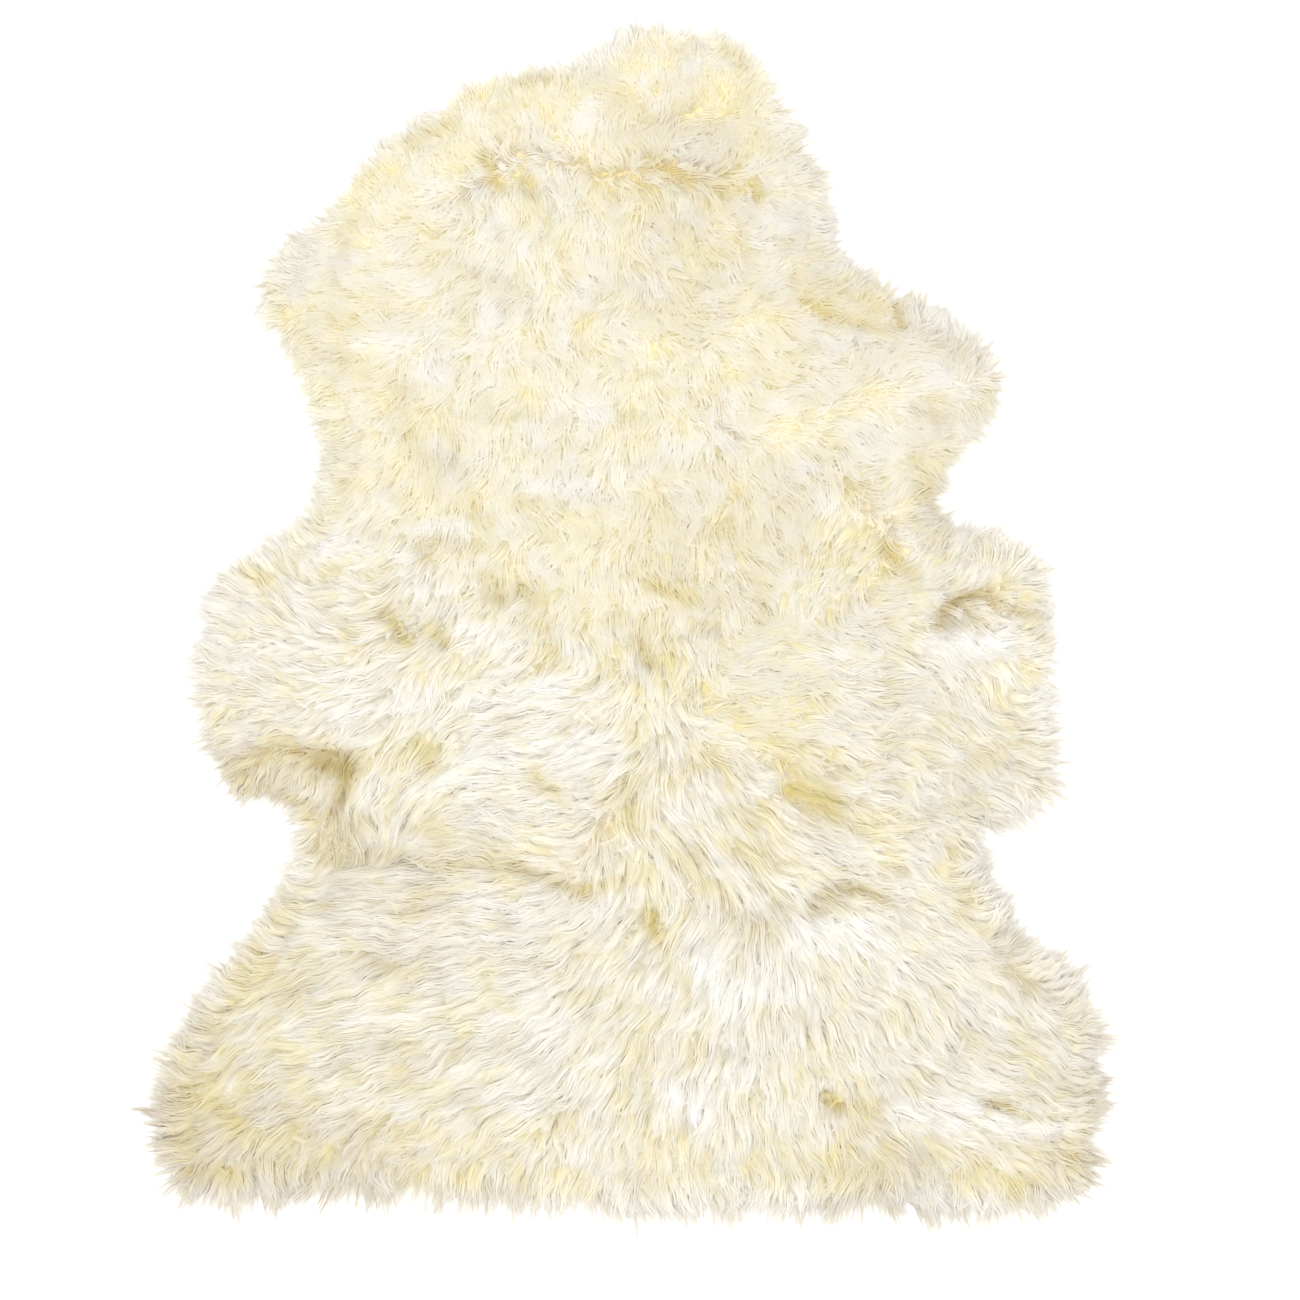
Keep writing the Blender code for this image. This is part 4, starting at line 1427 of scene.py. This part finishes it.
    def strips(self, name: str, strands: Strands, height: Array) -> bpy.types.Mesh:
        """The strands as flat strips, rolled down to both sides of the lock's arch.

        Args:
            name: The mesh's name.
            strands: The strands, in their places seen from above.
            height: Height of each of their points.

        Returns:
            The mesh.
        """
        rng, t, locks = self.rng, strands.t, strands.locks
        count = len(strands.lock)
        roll = rng.normal(0.0, self.roll, count)[:, None]
        roll = roll - self.arch * strands.aside * (1 - self.arch_flattens * t)
        level, sunk = np.cos(np.radians(roll)), np.sin(np.radians(roll))
        across = np.stack([strands.ahead_y * level, -strands.ahead_x * level, sunk], axis=2)
        stout = 1 + self.stouter * Drift(51, self.stouter_length).at(locks.x, locks.y)[strands.lock]
        broad = (stout * rng.uniform(*self.chance.breadth, count))[:, None]
        broad = self.breadth / self.strands * self.overlap * broad
        slim = 1 - self.slim_ends + self.slim_ends * np.sin(math.pi * t)
        broad = broad * (1 - t**self.taper_power) * slim
        return ribbons(name, np.stack([strands.x, strands.y, height], axis=2), across, broad, rng)

    def tint(self, mesh: bpy.types.Mesh, strands: Strands) -> None:
        """Gives each strand its tones: the chart's, those of its tuft, and its own.

        Where the wool parts, the roots take the tone of the parting, which is a painted shade at brown and
        shade marks. Roots of wavy wool get a darker painted shade. Roots that show where the combing spreads
        get painted shade through their dust. The side strands of each lock get a painted shade, and white
        marks give a painted highlight.

        Args:
            mesh: The strands' mesh.
            strands: The strands.
        """
        at, rng, chance, locks = self.wool_map.at, self.rng, self.chance, strands.locks
        count = len(strands.lock)
        x, y, t = (to_edges(values) for values in (strands.x, strands.y, strands.t))
        root = (1 - t) ** self.root_power
        rim = self.rim_tone + (1 - self.rim_tone) * np.clip(1 + at("inset", x, y) / self.rim_width, 0, 1)
        swell_and_highlight = at("swell_and_highlight", x, y)
        own = strands.each(self.tuft_tone * locks.hold.tone + rng.normal(0, chance.lock_tone, len(locks.x)))
        own = self.mottle * (own + rng.normal(0, chance.strand_tone, count)[:, None])
        warm = (at("warmth", x, y) + own) * rim * (1 - self.whiter)
        own = strands.each(rng.uniform(*chance.lock_dust, len(locks.x)))
        own = own * rng.uniform(*chance.strand_dust, count)[:, None]
        dust_and_shade = (at("dust_and_shade", x, y) + self.grey) * own + self.bared_shade * at("spread", x, y) * root
        along = self.root_tone + (1 - self.root_tone) * t + self.puff_highlight * swell_and_highlight
        shade = self.side_shade * strands.aside**2
        shade = shade + self.mottle * rng.uniform(0, chance.shade, count)[:, None]
        shade = (shade + self.root_shade * strands.each(locks.wave) * root) * (1 - self.puff_shade * swell_and_highlight)
        deep = at("parting", x, y) * np.clip(self.parted[0] - self.parted[1] * t, 0, 1)
        warm = warm * (1 - deep) + at("deep warmth", x, y) * deep
        dust_and_shade = dust_and_shade * (1 - deep) + at("deep dust_and_shade", x, y) * deep
        dress(mesh, along * (1 - deep), shade, warm, dust_and_shade)


def ribbons(name: str, centre: Array, across: Array, broad: Array,
            rng: np.random.Generator) -> bpy.types.Mesh:
    """Flat tapering strips, one for each run of points, that end in a point and face up.

    Args:
        name: The mesh's name.
        centre: Middle line of each strip, shaped strips x points x 3.
        across: Unit vectors to the right-hand side at each point.
        broad: Width at each point.
        rng: The source of chance for where each strip's fibres begin.

    Returns:
        One mesh with all strips, and a UV map in millimetres across and along each strip.
    """
    count, stops = broad.shape
    steps = stops - 1
    half = across * broad[:, :, None] / 2
    left = (centre - half)[:, :-1]
    right = (centre + half)[:, :-1]
    per = 2 * steps + 1
    sides = np.stack([left, right], axis=2).reshape(count, 2 * steps, 3)
    points = np.concatenate([sides, centre[:, -1:]], axis=1)
    points[..., 2] = np.maximum(points[..., 2], LOWEST)
    k = np.arange(steps - 1)
    quads = np.column_stack([2 * k, 2 * k + 1, 2 * k + 3, 2 * k + 2]).ravel()
    pattern = np.concatenate([quads, [2 * steps - 2, 2 * steps - 1, 2 * steps]])
    loops = (pattern[None, :] + per * np.arange(count)[:, None]).ravel()
    face = np.concatenate([4 * k, [4 * (steps - 1)]])
    starts = (face[None, :] + len(pattern) * np.arange(count)[:, None]).ravel()
    mesh = new_mesh(name, points.reshape(-1, 3), loops, starts)
    gaps = np.linalg.norm(np.diff(centre, axis=1), axis=2)
    run = np.concatenate([np.zeros((count, 1)), np.cumsum(gaps, axis=1)], axis=1)
    edge = MM / 2 * np.stack([-broad[:, :-1], broad[:, :-1]], axis=2).reshape(count, 2 * steps)
    u = np.concatenate([edge, np.zeros((count, 1))], axis=1)
    u = u + rng.uniform(0, FIBRE_START, count)[:, None]
    v = MM * to_edges(run) + rng.uniform(0, FIBRE_START, count)[:, None]
    layer = mesh.uv_layers.new(name="fibre")
    layer.data.foreach_set("uv", np.stack([u, v], axis=2).reshape(-1, 2)[loops].astype(np.float32).ravel())
    return mesh


@dataclass
class RimFringe(Fleece):
    """The outermost locks: thin, low and pale, from the foot of the slab out over the floor."""

    layers: int = 2
    gap: float = 0.0040
    thinner: float = 0.0
    short_lock: float = 0.014
    lock_range: float = 0.022
    depth: float = 0.012

    def roots(self) -> tuple[Array, Array]:
        """Points just inside the foot, a few deep, spread evenly round it, fewer where locks are short."""
        ring = self.outline.foot
        closed = np.vstack([ring, ring[:1]])
        run = run_along(closed)
        count = self.layers * int(run[-1] / self.gap)
        wanted = self.rng.uniform(0, run[-1], count)
        x = np.interp(wanted, run, closed[:, 0])
        y = np.interp(wanted, run, closed[:, 1])
        index, _ = self.outline.nearest(x, y)
        long = (self.outline.lock[index] - self.short_lock) / self.lock_range
        keep = self.rng.uniform(0, 1, count) < 1 - self.thinner * (1 - long)
        x, y, index = x[keep], y[keep], index[keep]
        back = self.rng.uniform(0.0, self.depth, len(x))
        return x - back * self.outline.away[index, 0], y - back * self.outline.away[index, 1]


@dataclass
class Studio:
    """The pale floor, the soft light and the camera straight above."""

    photo_side: int = 1300
    metres_per_pixel: float = 0.00092
    aim: tuple[float, float] = (0.0184, -0.0221)
    camera_height: float = 5.0
    sensor: float = 36.0
    floor_side: float = 14.0
    floor_colour: tuple[float, float, float] = (0.93, 0.93, 0.925)
    floor_roughness: float = 0.9
    below: float = 0.0003
    sky: float = 0.66
    sun: float = 2.82
    sun_spread: float = 40.0
    sun_tilt: tuple[float, float] = (3.0, -2.0)

    def build(self) -> None:
        """Makes the floor, the lights and the camera."""
        half = self.floor_side / 2
        corners = np.array([[-half, -half, 0], [half, -half, 0], [half, half, 0], [-half, half, 0]])
        mesh = new_mesh("floor", corners - np.array([0, 0, self.below]), np.arange(4), np.array([0]))
        nodes = Nodes("floor")
        nodes.fill(nodes.tree.nodes["Principled BSDF"], {
            "Base Color": (*self.floor_colour, 1.0), "Roughness": self.floor_roughness})
        mesh.materials.append(nodes.material)
        floor = add_object("floor", mesh)

        world = bpy.data.worlds.new("studio")
        world.use_nodes = True
        background = world.node_tree.nodes["Background"]
        background.inputs["Color"].default_value = (1.0, 1.0, 1.0, 1.0)
        background.inputs["Strength"].default_value = self.sky
        bpy.context.scene.world = world

        light = bpy.data.lights.new("window", "SUN")
        light.energy = self.sun
        light.angle = math.radians(self.sun_spread)
        add_object("window", light).rotation_euler = (*(math.radians(turn) for turn in self.sun_tilt), 0.0)

        lens = bpy.data.cameras.new("camera")
        lens.sensor_width = self.sensor
        lens.lens = self.sensor * self.camera_height / (self.photo_side * self.metres_per_pixel)
        lens.clip_start = 0.1
        lens.clip_end = 50.0
        camera = add_object("camera", lens)
        camera.location = (*self.aim, self.camera_height)
        bpy.context.scene.camera = camera
        bpy.context.scene.view_settings.view_transform = "Standard"


def main() -> None:
    """Builds the rug piece by piece, and the studio round it."""
    logging.basicConfig(level=logging.INFO, format="%(message)s")
    outline = Outline()
    wool_map = WoolMap(outline)
    LOG.info("foot area %.3f m2", outline.area())
    coarse = Tufts(0.015, 21)
    puffs = Tufts(0.022, 22)
    points = Tufts(0.008, 23)
    under = Fleece(
        outline, wool_map, {"under_locks": (-0.6, 0.6)}, coarse, seed=3, spacing=0.0085, strands=2, steps=3,
        breadth=0.0052, overlap=0.9, cling=0.2, longer=0.6, crimp=0.0, start=0.86, lie=0.95, shag=0.01,
        droop=0.02, root_tone=0.2, tousle=80, fray=0.0)
    soft_bands = {"fleece_neck": (0.28, 0.6), "fleece_shoulders": (0.13, 0.28), "fleece_back": (-0.6, 0.13)}
    soft = Fleece(
        outline, wool_map, soft_bands, puffs, seed=5, spacing=0.0070, strands=5, breadth=0.0100,
        overlap=0.75, gather=0.6, cling=0.3, arch=2, loft=0.0003, roll=2, tuft_turn=20, wave_to=0.55,
        shag=0.010, droop=0.02, root_tone=0.58, start=0.9, fray=0.0018, fluff=0.0002, side_shade=0.01,
        mottle=0.3)
    long_bands = {
        "fleece_flanks": (-0.13, 0.6), "fleece_belly": (-0.27, -0.13), "fleece_haunches": (-0.41, -0.27),
        "fleece_rump": (-0.6, -0.41)}
    long = Fleece(
        outline, wool_map, long_bands, coarse, seed=6, spacing=0.0080, strands=6, breadth=0.0085,
        overlap=1.0, gather=0.42, cling=0.5, arch=21, loft=0.0020, shag=0.060, fray=0.0014, wave_from=0.55,
        rim_share=0.42, ragged=0.35, side_shade=0.13)
    rim = RimFringe(
        outline, wool_map, {"rim_fringe": (-0.6, 0.6)}, points, seed=9, gap=0.003, strands=4,
        breadth=0.0040, overlap=0.8, gather=0.15, cling=1.0, wild=1.2, start=0.55, lie=0.70, shag=0.10,
        longer=0.9, arch=10, whiter=0.1, tousle=10, rim_share=0.45, ragged=0.6, fray=0.0006)
    # The wisps' grey is partly dusty tips and partly painted shade.
    wisps = RimFringe(
        outline, wool_map, {"rim_wisps": (-0.6, 0.6)}, points, seed=10, gap=0.0012, layers=1, strands=1,
        breadth=0.0023, overlap=1.0, cling=0.6, wild=0.6, start=0.5, lie=0.5, shag=0.1, arch=0,
        fall=0.9, rim_reach=0.006, rim_share=1.05, ragged=0.30, tousle=9, crimp=0.0008, longer=1.1,
        grey=0.35, whiter=0.8, thinner=0.6)
    wool = WoolFinish().build()
    dense_wool = WoolFinish(name="underwool", glow=0.0, streak=0.0).build()
    soft_wool = WoolFinish(
        name="soft wool", streak=0.06, glow=0.54, tip=(0.945, 0.93, 0.845),
        clean_tip=(0.945, 0.935, 0.905)).build()
    hide = Hide(outline, wool_map).build(HideFinish())
    pieces = [Underwool(outline, wool_map).build(dense_wool)]
    for kind, finish in ((soft, soft_wool), (under, wool), (long, wool), (rim, wool), (wisps, wool)):
        pieces += kind.build(finish)
    total = sum(len(face.vertices) - 2 for piece in (hide, *pieces) for face in piece.data.polygons)
    LOG.info("%d triangles", total)
    Studio().build()


if __name__ == "__main__":
    main()
